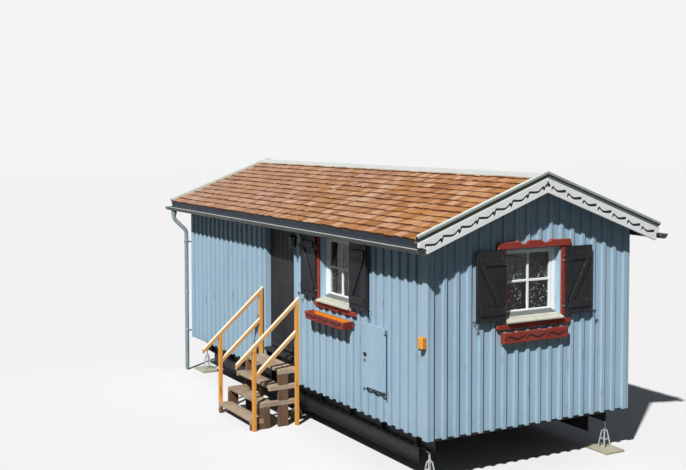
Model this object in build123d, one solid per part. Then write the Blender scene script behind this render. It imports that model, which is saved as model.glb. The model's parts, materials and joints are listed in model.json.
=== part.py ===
from build123d import *
import math
import os

# A small timber chalet on a steel underframe, in millimetres.
# X runs along the hut, Y across it and Z up. The door side faces -Y, and the near gable faces +X.
# While it is built, Z is 0 at the lower edge of the cladding, and X and Y are 0 in the middle of the hut.

# Hut body
hut_length = 7080
hut_width = 3000
wall_height = 2282
wall_thickness = 150
floor_top = 300
floor_thickness = 240
ground_depth = 550

# Roof
roof_pitch = 20.4
deck_depth = 85
deck_eave_overhang = 250
deck_gable_overhang = 191
ridge_cap_rise = 30
ridge_cap_half_width = 120
verge_cap_rise = 55
verge_cap_width = 65
verge_cap_height = 27
verge_cap_overhang = 6
verge_cap_reach = 270
barge_top_drop = 5
barge_depth = 183
barge_thickness = 22
barge_trim_thickness = 22
barge_full_reach = 205
barge_tip_reach = 255
barge_tip_height = 75

# Eave sheet and gutter
apron_thickness = 3
apron_upright = 60
apron_reach = 35
apron_drop = 48
gutter_radius = 60
gutter_wall = 3
gutter_from_wall = 270
gutter_clearance = 4
gutter_near_reach = 300
gutter_far_reach = 335
gutter_hanger_width = 25
gutter_hanger_thickness = 12
gutter_hanger_count = 9
gutter_hanger_inset = 120
gutter_hanger_grip = 25

# Downpipe
pipe_radius = 33
pipe_outlet_radius = 38
pipe_outlet_drop = 80
pipe_outlet_beyond_wall = 82
pipe_wall_offset = 85
pipe_straight = 115
pipe_neck_drop = 200
pipe_foot_clearance = 20
pipe_upper_clamp_drop = 692
pipe_lower_clamp_height = 100
pipe_clamp_height = 30
pipe_clamp_width = 24

# Door
door_from_corner = 4190
door_opening_width = 945
door_head_depth = 82
door_jamb_width = 30
door_jamb_setback = 95
door_threshold_height = 45
door_threshold_nose = 25
door_leaf_setback = 100
door_leaf_thickness = 45
door_gap = 5
door_latch_gap = 8
handle_height = 1050
handle_edge_offset = 65
handle_plate_width = 36
handle_plate_height = 190
handle_plate_thickness = 8
handle_stem_radius = 9
handle_stem_length = 34
handle_lever_length = 115
handle_lever_thickness = 14

# Windows
window_width = 810
window_height = 800
window_below_door_top = 120
window_frame_width = 50
window_frame_setback = 85
window_frame_depth = 60
glass_thickness = 6
glass_setback = 112
front_window_from_corner = 2085
gable_window_from_middle = 12
sill_nose = 70
sill_overlap = 8
sill_thickness = 30
sill_back_rise = 18
sill_fall = 12
casing_width = 60
casing_thickness = 24
head_height = 88
head_overlap = 75
head_thickness = 38
head_rise = 8
trim_height = 60
trim_overlap = 82
trim_thickness = 24
carving_spacing = 165
carving_width = 150
head_carving_depth = 38
trim_carving_depth = 18
curtain_gap = 0.3
curtain_thickness = 18
curtain_overlap = 35
curtain_parting = 120
curtain_margin = 30

# Shutters
shutter_width = 403
shutter_overhang = 8
shutter_thickness = 30
shutter_stand_off = 5
shutter_axis_offset = 30
shutter_edge_gap = 15
ledge_height = 90
ledge_thickness = 20
ledge_end_margin = 28
ledge_from_end = 75
brace_width = 80

# Pintle hinges, shared by the shutters, the hatch and the door
pin_radius = 5
pin_clearance = 0.3
knuckle_radius = 9
knuckle_height = 45
pin_proud = 5
pintle_height = 12
pintle_half_width = 7
hinge_from_end = 110
tab_thickness = 8
tab_length = 40

# Flower boxes
front_box_from_corner = 2126
front_box_length = 1040
front_box_depth = 155
front_box_height = 98
front_box_below_window = 182
gable_box_length = 955
gable_box_depth = 70
gable_box_height = 121
gable_box_below_window = 153
box_wall = 15

# Hatch
hatch_from_corner = 1378
hatch_width = 538
hatch_bottom = 340
hatch_below_shutter = 142
hatch_thickness = 25
hatch_stand_off = 8
hatch_overlap = 30
hatch_frame_wall = 20
hatch_frame_depth = 120
hatch_axis_gap = 12
hatch_strap_thickness = 6
hatch_strap_height = 26
hatch_strap_length = 400

# Lamp and socket box on the door side
lamp_beyond_door = 205
lamp_below_door_top = 115
lamp_height = 200
lamp_shoulder_height = 140
lamp_radius = 62
lamp_foot_radius = 45
lamp_out = 125
lamp_plate_width = 80
lamp_plate_height = 120
lamp_plate_thickness = 12
lamp_arm_radius = 9
lamp_sides = 6
socket_from_corner = 90
socket_width = 86
socket_depth = 65
socket_bottom = 1040
socket_height = 128
socket_lid_inset = 6
socket_lid_height = 20

# Underframe
beam_depth = 240
beam_width = 70
beam_end_gap = 5
lower_beam_depth = 200
lower_beam_width = 60
lower_beam_inset = 480
cross_member_count = 6
cross_member_depth = 120
cross_member_width = 80
stand_count = 3
stand_end_inset = 60
stand_base = 130
stand_head = 60
stand_plate = 10
stand_leg = 20
stand_post_radius = 14
stand_post_share = 0.35
stand_plank_length = 400
stand_plank_width = 300
stand_plank_thickness = 30

# Steps
step_beyond_door = 45
step_width = 1000
step_side_thickness = 50
step_side_height = 70
step_thickness = 42
landing_below_floor = 70
landing_reach = 290
step_rise = 210
step_run = 137
step_count = 3
upright_levels = (0, 2, 3)
step_depth = 190
plank_width = 150
post_size = 50
front_post_reach = 685
rail_depth = 67
rail_thickness = 50
rail_slope = 0.89
rail_above_floor = 900
mid_rail_above_floor = 490
rail_reach = 925

near_x = hut_length / 2
far_x = -hut_length / 2
front_y = -hut_width / 2
back_y = hut_width / 2
inner_half_width = hut_width / 2 - wall_thickness
ground_z = -ground_depth
slope = math.tan(math.radians(roof_pitch))
ridge_height = wall_height + deck_depth + back_y * slope
eave_y = back_y + deck_eave_overhang
deck_end = near_x + deck_gable_overhang
door_opening_top = wall_height - door_head_depth
window_top = door_opening_top - window_below_door_top
window_bottom = window_top - window_height
shutter_bottom = window_bottom - shutter_overhang
shutter_top = window_top


def block(x0, x1, y0, y1, z0, z1):
    """A box between two corners."""
    centre = Pos((x0 + x1) / 2, (y0 + y1) / 2, (z0 + z1) / 2)
    return centre * Box(abs(x1 - x0), abs(y1 - y0), abs(z1 - z0))


def prism_x(points, x0, x1):
    """A solid from x0 to x1 with its outline in Y and Z."""
    outline = make_face(Polyline(*[(x0, y, z) for y, z in points], close=True))
    return extrude(outline, amount=x1 - x0, dir=(1, 0, 0))


def prism_y(points, y0, y1):
    """A solid from y0 to y1 with its outline in X and Z."""
    outline = make_face(Polyline(*[(x, y0, z) for x, z in points], close=True))
    return extrude(outline, amount=y1 - y0, dir=(0, 1, 0))


def rod_x(radius, x0, x1, y, z):
    """A round bar along X."""
    return Pos((x0 + x1) / 2, y, z) * Rot(0, 90, 0) * Cylinder(radius, x1 - x0)


def rod_z(radius, x, y, z0, z1):
    """A round bar along Z."""
    return Pos(x, y, (z0 + z1) / 2) * Cylinder(radius, z1 - z0)


def rod_between(radius, start, end):
    """A round bar from one point to another."""
    axis = Vector(*end) - Vector(*start)
    return extrude(Plane(origin=start, z_dir=axis) * Circle(radius), amount=axis.length)


def fuse(pieces):
    """One solid from pieces that touch or overlap."""
    joined = pieces[0]
    for piece in pieces[1:]:
        joined = joined + piece
    return joined


def group(pieces):
    """Several separate solids as one sub-part."""
    return Compound([solid for piece in pieces for solid in piece.solids()])


def roof_z(y, lift=0):
    """Height of the deck's upper face at a distance y from the ridge, raised by lift."""
    return ridge_height + lift - abs(y) * slope


def chevron(x0, x1, low, high, half_span):
    """A strip that follows both roof slopes, between two heights above the deck."""
    outline = [
        (-half_span, roof_z(half_span, low)),
        (0, roof_z(0, low)),
        (half_span, roof_z(half_span, low)),
        (half_span, roof_z(half_span, high)),
        (0, roof_z(0, high)),
        (-half_span, roof_z(half_span, high)),
    ]
    return prism_x(outline, x0, x1)


def to_back(shape):
    """The same piece on the other side of the ridge."""
    return mirror(shape, about=Plane.XZ)


def to_far_end(shape):
    """The same piece at the other gable."""
    return mirror(shape, about=Plane.YZ)


# Walls and floor

door_left = near_x - door_from_corner
door_right = door_left + door_opening_width
front_window_x = near_x - front_window_from_corner
hatch_left = near_x - hatch_from_corner
hatch_right = hatch_left + hatch_width
hatch_top = shutter_bottom - hatch_below_shutter


def long_wall(x0, x1, z0=0):
    """A stretch of the door-side wall, up to the sloping underside of the roof deck."""
    outer = front_y
    inner = front_y + wall_thickness
    outline = [
        (outer, z0),
        (inner, z0),
        (inner, roof_z(inner, -deck_depth)),
        (outer, roof_z(outer, -deck_depth)),
    ]
    return prism_x(outline, x0, x1)


def window_hole(x):
    """The window opening through the door-side wall at x."""
    half = window_width / 2
    return block(x - half, x + half, front_y, front_y + wall_thickness, window_bottom, window_top)


def hatch_hole():
    """The opening behind the hatch."""
    return block(
        hatch_left + hatch_overlap,
        hatch_right - hatch_overlap,
        front_y,
        front_y + wall_thickness,
        hatch_bottom + hatch_overlap,
        hatch_top - hatch_overlap,
    )


def gable_wall():
    """The near end wall, between the long walls."""
    inner = inner_half_width
    outline = [
        (-inner, 0),
        (inner, 0),
        (inner, roof_z(inner, -deck_depth)),
        (0, roof_z(0, -deck_depth)),
        (-inner, roof_z(inner, -deck_depth)),
    ]
    return prism_x(outline, near_x - wall_thickness, near_x)


front_wall_left = long_wall(far_x, door_left)
front_wall_over_door = long_wall(door_left, door_right, door_opening_top)
front_wall_right = long_wall(door_right, near_x) - window_hole(front_window_x) - hatch_hole()
back_wall = to_back(long_wall(far_x, near_x) - window_hole(front_window_x))
floor = block(
    far_x + wall_thickness,
    near_x - wall_thickness,
    -inner_half_width,
    inner_half_width,
    floor_top - floor_thickness,
    floor_top,
)


# Roof

verge_cap_outer = deck_end + barge_thickness + barge_trim_thickness + verge_cap_overhang
verge_cap_inner = verge_cap_outer - verge_cap_width


def deck():
    """The boarded roof over the door side."""
    outline = [
        (-eave_y, roof_z(eave_y)),
        (0, roof_z(0)),
        (0, roof_z(0, -deck_depth)),
        (-eave_y, roof_z(eave_y, -deck_depth)),
    ]
    return prism_x(outline, -deck_end, deck_end)


def verge_cap():
    """The sheet-metal cap along the near gable's edge of the roof."""
    on_deck = chevron(verge_cap_inner, deck_end, 0, verge_cap_rise, eave_y)
    low = verge_cap_rise - verge_cap_height
    on_board = chevron(deck_end, verge_cap_outer, low, verge_cap_rise, back_y + verge_cap_reach)
    return on_deck + on_board


def bargeboard():
    """The white board under the near verge, with a shallow tail that clears the gutter."""
    full = back_y + barge_full_reach
    tip = back_y + barge_tip_reach
    high = -barge_top_drop
    low = high - barge_depth
    tail_z = roof_z(tip, high) - barge_tip_height
    outline = [
        (-tip, roof_z(tip, high)),
        (0, roof_z(0, high)),
        (tip, roof_z(tip, high)),
        (tip, tail_z),
        (full, tail_z),
        (full, roof_z(full, low)),
        (0, roof_z(0, low)),
        (-full, roof_z(full, low)),
        (-full, tail_z),
        (-tip, tail_z),
    ]
    return prism_x(outline, deck_end, deck_end + barge_thickness)


ridge_cap = chevron(-verge_cap_inner, verge_cap_inner, 0, ridge_cap_rise, ridge_cap_half_width)

# Gutter and eave sheet, on the door side

gutter_y = front_y - gutter_from_wall
gutter_z = roof_z(eave_y, -deck_depth) - gutter_clearance
gutter_x0 = far_x - gutter_far_reach
gutter_x1 = near_x + gutter_near_reach
outlet_x = far_x - pipe_outlet_beyond_wall
outlet_z = gutter_z - pipe_outlet_drop


def eave_apron():
    """The folded sheet that leads from the roof edge into the gutter."""
    top = roof_z(eave_y)
    bend = top - apron_upright
    outline = [
        (-eave_y, top),
        (-eave_y, bend),
        (-eave_y - apron_reach, bend - apron_drop),
        (-eave_y - apron_reach - apron_thickness, bend - apron_drop),
        (-eave_y - apron_thickness, bend),
        (-eave_y - apron_thickness, top),
    ]
    return prism_x(outline, -deck_end, deck_end)


def gutter_hanger(x):
    """A strap from the gutter's inner side up to the deck."""
    outer = gutter_y + gutter_radius - gutter_hanger_thickness / 2
    inner = outer + gutter_hanger_thickness
    low = gutter_z - gutter_hanger_grip
    outline = [
        (outer, low),
        (inner, low),
        (inner, roof_z(inner, -deck_depth)),
        (outer, roof_z(outer, -deck_depth)),
    ]
    return prism_x(outline, x - gutter_hanger_width / 2, x + gutter_hanger_width / 2)


def gutter():
    """The half-round gutter with its ends, hangers and outlet."""
    outer = rod_x(gutter_radius, gutter_x0, gutter_x1, gutter_y, gutter_z)
    inner_x0 = gutter_x0 + gutter_wall
    inner_x1 = gutter_x1 - gutter_wall
    hollow = rod_x(gutter_radius - gutter_wall, inner_x0, inner_x1, gutter_y, gutter_z)
    upper = block(
        gutter_x0,
        gutter_x1,
        gutter_y - gutter_radius,
        gutter_y + gutter_radius,
        gutter_z,
        gutter_z + gutter_radius,
    )
    outlet = rod_z(pipe_outlet_radius, outlet_x, gutter_y, outlet_z, gutter_z)
    first = -deck_end + gutter_hanger_inset
    pitch = (2 * deck_end - 2 * gutter_hanger_inset) / (gutter_hanger_count - 1)
    hangers = [gutter_hanger(first + i * pitch) - hollow for i in range(gutter_hanger_count)]
    return fuse([outer + outlet - hollow - upper] + hangers)


def downpipe():
    """The pipe from the outlet, over a swan neck and down the corner of the door side."""
    wall_y = front_y - pipe_wall_offset
    elbow_z = outlet_z - pipe_straight
    neck_z = elbow_z - pipe_neck_drop
    elbow = (outlet_x, gutter_y, elbow_z)
    knee = (far_x, wall_y, neck_z)
    pieces = [
        rod_z(pipe_radius, outlet_x, gutter_y, elbow_z, outlet_z),
        Pos(*elbow) * Sphere(pipe_radius),
        rod_between(pipe_radius, elbow, knee),
        Pos(*knee) * Sphere(pipe_radius),
        rod_z(pipe_radius, far_x, wall_y, ground_z + pipe_foot_clearance, neck_z),
    ]
    for low in (wall_height - pipe_upper_clamp_drop, pipe_lower_clamp_height):
        high = low + pipe_clamp_height
        pieces.append(block(far_x, far_x + pipe_clamp_width, wall_y, front_y, low, high))
    return fuse(pieces)


# Pintle hinges

def pintle(x, y, z, x_carrier, y_carrier):
    """The fixed pin on a bracket that reaches from its carrier's face; z is the foot of the knuckle."""
    top = z - pin_clearance
    bracket = block(
        min(x - pintle_half_width, x_carrier),
        max(x + pintle_half_width, x_carrier),
        min(y - pintle_half_width, y_carrier),
        max(y + pintle_half_width, y_carrier),
        top - pintle_height,
        top,
    )
    return bracket + rod_z(pin_radius, x, y, top, z + knuckle_height + pin_proud)


def knuckle(x, y, z):
    """The moving barrel around the pin."""
    return rod_z(knuckle_radius, x, y, z, z + knuckle_height)


def pin_bore(x, y, z):
    """The hole through a barrel."""
    return rod_z(pin_radius + pin_clearance, x, y, z, z + knuckle_height)


# Windows, drawn for a wall whose face is Y = 0 and faces -Y, with the window in the middle

half_window = window_width / 2
sill_top = window_bottom - sill_back_rise
casing_edge = half_window + casing_width
head_bottom = window_top + head_rise
sill_bottom = sill_top - sill_fall - sill_thickness


def window_frame():
    """The outer frame in the opening."""
    rim = window_frame_width
    back = window_frame_setback + window_frame_depth
    outer = block(-half_window, half_window, window_frame_setback, back, window_bottom, window_top)
    inner = block(
        rim - half_window,
        half_window - rim,
        window_frame_setback,
        back,
        window_bottom + rim,
        window_top - rim,
    )
    return outer - inner


def glass_pane():
    """The pane that fills the frame."""
    rim = window_frame_width
    return block(
        rim - half_window,
        half_window - rim,
        glass_setback,
        glass_setback + glass_thickness,
        window_bottom + rim,
        window_top - rim,
    )


def window_sill():
    """The sill's sloping nose in front of the wall."""
    half = half_window + sill_overlap
    outline = [
        (0, sill_top),
        (0, sill_bottom),
        (-sill_nose, sill_bottom),
        (-sill_nose, sill_top - sill_fall),
    ]
    return prism_x(outline, -half, half)


def casing(side):
    """An upright red board beside the opening."""
    board = block(half_window, casing_edge, -casing_thickness, 0, sill_top, head_bottom)
    return board if side > 0 else to_far_end(board)


def carving(edge_z, depth, thickness):
    """Two shallow hollows to cut into a board's edge at a height; a positive depth cuts downwards."""
    radius = ((carving_width / 2) ** 2 + depth**2) / (2 * abs(depth))
    centre_z = edge_z - depth + math.copysign(radius, depth)
    hollow = Pos(carving_spacing, -thickness / 2, centre_z) * Rot(90, 0, 0) * Cylinder(radius, thickness)
    return hollow + to_far_end(hollow)


def head_board():
    """The red board over the window, with two hollows in its upper edge."""
    half = casing_edge + head_overlap
    top = head_bottom + head_height
    board = block(-half, half, -head_thickness, 0, head_bottom, top)
    return board - carving(top, head_carving_depth, head_thickness)


def trim_board():
    """The red board under the sill, with two hollows in its lower edge."""
    half = casing_edge + trim_overlap
    bottom = sill_bottom - trim_height
    board = block(-half, half, -trim_thickness, 0, bottom, sill_bottom)
    return board - carving(bottom, -trim_carving_depth, trim_thickness)


def curtain(side):
    """A curtain on the inner face of the wall, drawn to one side."""
    outer = half_window + curtain_overlap
    y0 = wall_thickness + curtain_gap
    board = block(
        curtain_parting,
        outer,
        y0,
        y0 + curtain_thickness,
        window_bottom - curtain_margin,
        window_top + curtain_margin,
    )
    return board if side > 0 else to_far_end(board)


# Shutters, drawn open beside the same window

shutter_back = -casing_thickness - shutter_stand_off
shutter_front = shutter_back - shutter_thickness
shutter_axis_x = half_window + shutter_axis_offset
shutter_axis_y = (shutter_back + shutter_front) / 2
shutter_inner_x = shutter_axis_x + shutter_edge_gap
shutter_outer_x = shutter_inner_x + shutter_width
shutter_hinge_heights = (shutter_bottom + hinge_from_end, shutter_top - hinge_from_end - knuckle_height)
ledge_heights = (shutter_bottom + ledge_from_end, shutter_top - ledge_from_end - ledge_height)


def shutter(side):
    """A ledged and braced shutter, with the foot of the brace at the hinge."""
    x0 = shutter_inner_x
    x1 = shutter_outer_x
    a = x0 + ledge_end_margin
    b = x1 - ledge_end_margin
    ledge_y = shutter_front - ledge_thickness
    pieces = [block(x0, x1, shutter_front, shutter_back, shutter_bottom, shutter_top)]
    for z in ledge_heights:
        pieces.append(block(a, b, ledge_y, shutter_front, z, z + ledge_height))
    foot = ledge_heights[0] + ledge_height
    head = ledge_heights[1]
    brace = [(a, foot), (a + brace_width, foot), (b, head), (b - brace_width, head)]
    pieces.append(prism_y(brace, ledge_y, shutter_front))
    tab_y0 = shutter_axis_y - tab_thickness / 2
    tab_y1 = shutter_axis_y + tab_thickness / 2
    for z in shutter_hinge_heights:
        pieces.append(block(shutter_axis_x, x0 + tab_length, tab_y0, tab_y1, z, z + knuckle_height))
        pieces.append(knuckle(shutter_axis_x, shutter_axis_y, z))
    leaf = fuse(pieces)
    for z in shutter_hinge_heights:
        leaf = leaf - pin_bore(shutter_axis_x, shutter_axis_y, z)
    return leaf if side > 0 else to_far_end(leaf)


def shutter_pintles():
    """The four pins that carry a window's two shutters."""
    x = shutter_axis_x
    y = shutter_axis_y
    pins = [pintle(x, y, z, x, -casing_thickness) for z in shutter_hinge_heights]
    return pins + [to_far_end(pin) for pin in pins]


# Flower boxes, drawn for the same wall

front_box_x = near_x - front_box_from_corner
front_box_top = window_bottom - front_box_below_window
gable_box_top = window_bottom - gable_box_below_window


def flower_box(length, depth, height, top):
    """An open red box against the wall."""
    half = length / 2
    bottom = top - height
    outer = block(-half, half, -depth, 0, bottom, top)
    hollow = block(box_wall - half, half - box_wall, box_wall - depth, -box_wall, bottom + box_wall, top)
    return outer - hollow


on_front = Pos(front_window_x, front_y, 0)
on_gable = Pos(near_x, -gable_window_from_middle, 0) * Rot(0, 0, 90)
on_back = Pos(front_window_x, back_y, 0) * Rot(0, 0, 180)
windows = (on_front, on_gable, on_back)
gable_hole = on_gable * block(-half_window, half_window, 0, wall_thickness, window_bottom, window_top)
near_gable_wall = gable_wall() - gable_hole
far_gable_wall = to_far_end(gable_wall())


# Door

leaf_x0 = door_left + door_jamb_width + door_gap
leaf_x1 = door_right - door_jamb_width - door_latch_gap
leaf_y0 = front_y + door_leaf_setback
leaf_y1 = leaf_y0 + door_leaf_thickness
leaf_z0 = floor_top + door_threshold_height + door_gap
leaf_z1 = door_opening_top - door_jamb_width - door_gap
door_inner_y = front_y + wall_thickness
door_axis_x = leaf_x0 - door_gap / 2
door_axis_y = door_inner_y + knuckle_radius
door_hinge_heights = (leaf_z0 + hinge_from_end, leaf_z1 - hinge_from_end - knuckle_height)


def door_frame():
    """The two jambs and the head, set back in the opening."""
    y0 = front_y + door_jamb_setback
    y1 = door_inner_y
    outer = block(door_left, door_right, y0, y1, floor_top, door_opening_top)
    gap = block(
        door_left + door_jamb_width,
        door_right - door_jamb_width,
        y0,
        y1,
        floor_top,
        door_opening_top - door_jamb_width,
    )
    return outer - gap


def door_threshold():
    """The step bar between the jambs, with a nose past the wall."""
    x0 = door_left + door_jamb_width
    x1 = door_right - door_jamb_width
    top = floor_top + door_threshold_height
    return block(x0, x1, front_y - door_threshold_nose, door_inner_y, floor_top, top)


def door_leaf():
    """The boarded leaf with the two hinge barrels on its inner face."""
    pieces = [block(leaf_x0, leaf_x1, leaf_y0, leaf_y1, leaf_z0, leaf_z1)]
    tab_x0 = door_axis_x + pin_radius
    tab_x1 = leaf_x0 + tab_length
    tab_y = door_axis_y + tab_thickness / 2
    for z in door_hinge_heights:
        pieces.append(block(tab_x0, tab_x1, leaf_y1, tab_y, z, z + knuckle_height))
        pieces.append(knuckle(door_axis_x, door_axis_y, z))
    leaf = fuse(pieces)
    for z in door_hinge_heights:
        leaf = leaf - pin_bore(door_axis_x, door_axis_y, z)
    return leaf


def door_handle():
    """A plate, a stem and a lever on the outer face."""
    x = leaf_x1 - handle_edge_offset
    z = floor_top + handle_height
    half_width = handle_plate_width / 2
    half_height = handle_plate_height / 2
    plate_y = leaf_y0 - handle_plate_thickness
    stem_y = plate_y - handle_stem_length
    plate = block(x - half_width, x + half_width, plate_y, leaf_y0, z - half_height, z + half_height)
    stem = rod_between(handle_stem_radius, (x, plate_y, z), (x, stem_y, z))
    half_lever = handle_lever_thickness / 2
    lever = block(
        x - handle_lever_length,
        x + half_lever,
        stem_y - handle_lever_thickness,
        stem_y,
        z - half_lever,
        z + half_lever,
    )
    return fuse([plate, stem, lever])


def door_pintles():
    """The two fixed pins on the frame's inner face."""
    return [pintle(door_axis_x, door_axis_y, z, door_left, door_inner_y) for z in door_hinge_heights]


# Hatch

hatch_front_y = front_y - hatch_stand_off - hatch_thickness
hatch_axis_x = hatch_right + hatch_axis_gap
hatch_axis_y = hatch_front_y - knuckle_radius
hatch_hinge_heights = (hatch_bottom, hatch_top - knuckle_height)


def hatch_frame():
    """The lining of the opening behind the hatch."""
    x0 = hatch_left + hatch_overlap
    x1 = hatch_right - hatch_overlap
    z0 = hatch_bottom + hatch_overlap
    z1 = hatch_top - hatch_overlap
    rim = hatch_frame_wall
    outer = block(x0, x1, front_y, front_y + hatch_frame_depth, z0, z1)
    inner = block(x0 + rim, x1 - rim, front_y, front_y + hatch_frame_depth, z0 + rim, z1 - rim)
    return outer - inner


def hatch_door():
    """The hatch leaf with two straps that end in hinge barrels."""
    back = front_y - hatch_stand_off
    pieces = [block(hatch_left, hatch_right, hatch_front_y, back, hatch_bottom, hatch_top)]
    for z in hatch_hinge_heights:
        low = z + (knuckle_height - hatch_strap_height) / 2
        strap_y = hatch_front_y - hatch_strap_thickness
        pieces.append(
            block(
                hatch_right - hatch_strap_length,
                hatch_axis_x,
                strap_y,
                hatch_front_y,
                low,
                low + hatch_strap_height,
            )
        )
        pieces.append(knuckle(hatch_axis_x, hatch_axis_y, z))
    leaf = fuse(pieces)
    for z in hatch_hinge_heights:
        leaf = leaf - pin_bore(hatch_axis_x, hatch_axis_y, z)
    return leaf


def hatch_pintles():
    """The two fixed pins on the wall beside the hatch."""
    return [pintle(hatch_axis_x, hatch_axis_y, z, hatch_axis_x, front_y) for z in hatch_hinge_heights]


# Lamp and socket box

def wall_lamp():
    """A six-sided lantern on an arm from a wall plate."""
    x = door_right + lamp_beyond_door
    y = front_y - lamp_out
    top = door_opening_top - lamp_below_door_top
    lamp_bottom = top - lamp_height
    eaves = lamp_bottom + lamp_shoulder_height
    foot = Plane.XY.offset(lamp_bottom) * RegularPolygon(lamp_foot_radius, lamp_sides)
    shoulder = Plane.XY.offset(eaves) * RegularPolygon(lamp_radius, lamp_sides)
    tip = Plane.XY.offset(top) * RegularPolygon(lamp_arm_radius, lamp_sides)
    lantern = Pos(x, y, 0) * (loft([foot, shoulder]) + loft([shoulder, tip]))
    half_plate = lamp_plate_width / 2
    plate_y = front_y - lamp_plate_thickness
    plate = block(x - half_plate, x + half_plate, plate_y, front_y, eaves - lamp_plate_height, eaves)
    arm_z = eaves - lamp_plate_height / 2
    arm = rod_between(lamp_arm_radius, (x, plate_y, arm_z), (x, y, arm_z))
    return fuse([plate, arm, lantern])


def yellow_box():
    """A socket box with a flat lid under it."""
    x0 = near_x - socket_from_corner
    x1 = x0 + socket_width
    y0 = front_y - socket_depth
    inset = socket_lid_inset
    body = block(x0, x1, y0, front_y, socket_bottom, socket_bottom + socket_height)
    lid = block(x0 + inset, x1 - inset, y0 + inset, front_y, socket_bottom - socket_lid_height, socket_bottom)
    return body + lid


# Underframe

beam_top = floor_top - floor_thickness
beam_bottom = beam_top - beam_depth
beam_half_length = hut_length / 2 - wall_thickness - beam_end_gap
beam_outer_y = inner_half_width
beam_inner_y = beam_outer_y - beam_width


def chassis_beam():
    """The long beam under the door side, with a shorter beam below it."""
    upper = block(-beam_half_length, beam_half_length, -beam_outer_y, -beam_inner_y, beam_bottom, beam_top)
    middle_y = -(beam_outer_y + beam_inner_y) / 2
    lower = block(
        lower_beam_inset - hut_length / 2,
        hut_length / 2 - lower_beam_inset,
        middle_y - lower_beam_width / 2,
        middle_y + lower_beam_width / 2,
        beam_bottom - lower_beam_depth,
        beam_bottom,
    )
    return upper + lower


def cross_members():
    """The bars between the two long beams."""
    first = cross_member_width / 2 - beam_half_length
    pitch = (2 * beam_half_length - cross_member_width) / (cross_member_count - 1)
    half = cross_member_width / 2
    return [
        block(
            first + i * pitch - half,
            first + i * pitch + half,
            -beam_inner_y,
            beam_inner_y,
            beam_top - cross_member_depth,
            beam_top,
        )
        for i in range(cross_member_count)
    ]


def stand(x, top):
    """A four-legged stand with a screw post on a plank, up to the height top, under the door-side beam."""
    y = -(beam_outer_y + beam_inner_y) / 2
    foot_z = ground_z + stand_plank_thickness
    crown_z = top - (top - foot_z) * stand_post_share
    half_length = stand_plank_length / 2
    half_width = stand_plank_width / 2
    half_plate = stand_head / 2
    half_base = (stand_base - stand_leg) / 2
    half_head = (stand_head - stand_leg) / 2
    pieces = [
        block(x - half_length, x + half_length, y - half_width, y + half_width, ground_z, foot_z),
        block(x - half_plate, x + half_plate, y - half_plate, y + half_plate, crown_z - stand_plate, crown_z),
        rod_z(stand_post_radius, x, y, crown_z, top),
        block(x - half_plate, x + half_plate, y - half_plate, y + half_plate, top - stand_plate, top),
    ]
    for sx in (-1, 1):
        for sy in (-1, 1):
            low = Vector(x + sx * half_base, y + sy * half_base, foot_z)
            high = Vector(x + sx * half_head, y + sy * half_head, crown_z)
            way = high - low
            section = Plane.XY.offset(foot_z) * Pos(low.X, low.Y) * Rectangle(stand_leg, stand_leg)
            pieces.append(extrude(section, amount=way.length, dir=way))
    return fuse(pieces)


def support_stands():
    """The stands under both long beams."""
    ends = beam_half_length - stand_end_inset
    under_lower = hut_length / 2 - lower_beam_inset
    stands = []
    for i in range(stand_count):
        x = -ends + i * 2 * ends / (stand_count - 1)
        below_lower = abs(x) < under_lower
        top = beam_bottom - lower_beam_depth if below_lower else beam_bottom
        stands.append(stand(x, top))
    return stands + [to_back(piece) for piece in stands]


# Steps

step_x1 = door_right + step_beyond_door
step_x0 = step_x1 - step_width
step_mid_x = (step_x0 + step_x1) / 2
side_x1 = step_x1 + step_side_thickness
landing_top = floor_top - landing_below_floor
rail_top_at_wall = floor_top + rail_above_floor
mid_rail_top_at_wall = floor_top + mid_rail_above_floor


def step_level(i):
    """Top height and front edge of level i: 0 is the landing, and higher numbers go down."""
    top = landing_top - i * step_rise
    front = front_y - landing_reach - i * step_run
    return top, front


def to_left_side(shape):
    """The same piece at the left side of the steps."""
    return mirror(shape, about=Plane.YZ.offset(step_mid_x))


def step_side():
    """The right side of the steps: rails that end at the wall, on upright planks."""
    pieces = []
    for i in range(step_count + 1):
        top, front = step_level(i)
        lowest = i == step_count
        back = front + step_depth if lowest else front_y
        pieces.append(block(step_x1, side_x1, front, back, top - step_side_height, top))
    for i in upright_levels:
        top, front = step_level(i)
        width = post_size if i == step_count else plank_width
        pieces.append(block(step_x1, side_x1, front, front + width, ground_z, top - step_side_height))
    return fuse(pieces)


def treads():
    """The landing and the treads between the two sides."""
    boards = []
    for i in range(step_count + 1):
        top, front = step_level(i)
        back = front_y if i == 0 else front + step_depth
        boards.append(block(step_x0, step_x1, front, back, top - step_thickness, top))
    return boards


def rail_z(y, top_at_wall):
    """Height of a sloping rail's upper face at a place in front of the wall."""
    return top_at_wall + (y - front_y) * rail_slope


def sloping_rail(x, y0, y1, top_at_wall):
    """A rail along the steps' side, with plumb ends."""
    outline = [
        (y0, rail_z(y0, top_at_wall)),
        (y1, rail_z(y1, top_at_wall)),
        (y1, rail_z(y1, top_at_wall) - rail_depth),
        (y0, rail_z(y0, top_at_wall) - rail_depth),
    ]
    return prism_x(outline, x - rail_thickness / 2, x + rail_thickness / 2)


post_x = side_x1 + post_size / 2
front_post_y = front_y - front_post_reach


def post(y0):
    """An upright post from the ground to the underside of the top rail."""
    y1 = y0 + post_size
    outline = [
        (y0, ground_z),
        (y1, ground_z),
        (y1, rail_z(y1, rail_top_at_wall) - rail_depth),
        (y0, rail_z(y0, rail_top_at_wall) - rail_depth),
    ]
    return prism_x(outline, post_x - post_size / 2, post_x + post_size / 2)


right_posts = [post(front_post_y), post(front_y - post_size)]
right_rails = [
    sloping_rail(post_x, front_y - rail_reach, front_y, rail_top_at_wall),
    sloping_rail(post_x, front_post_y + post_size, front_y - post_size, mid_rail_top_at_wall),
]

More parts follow.
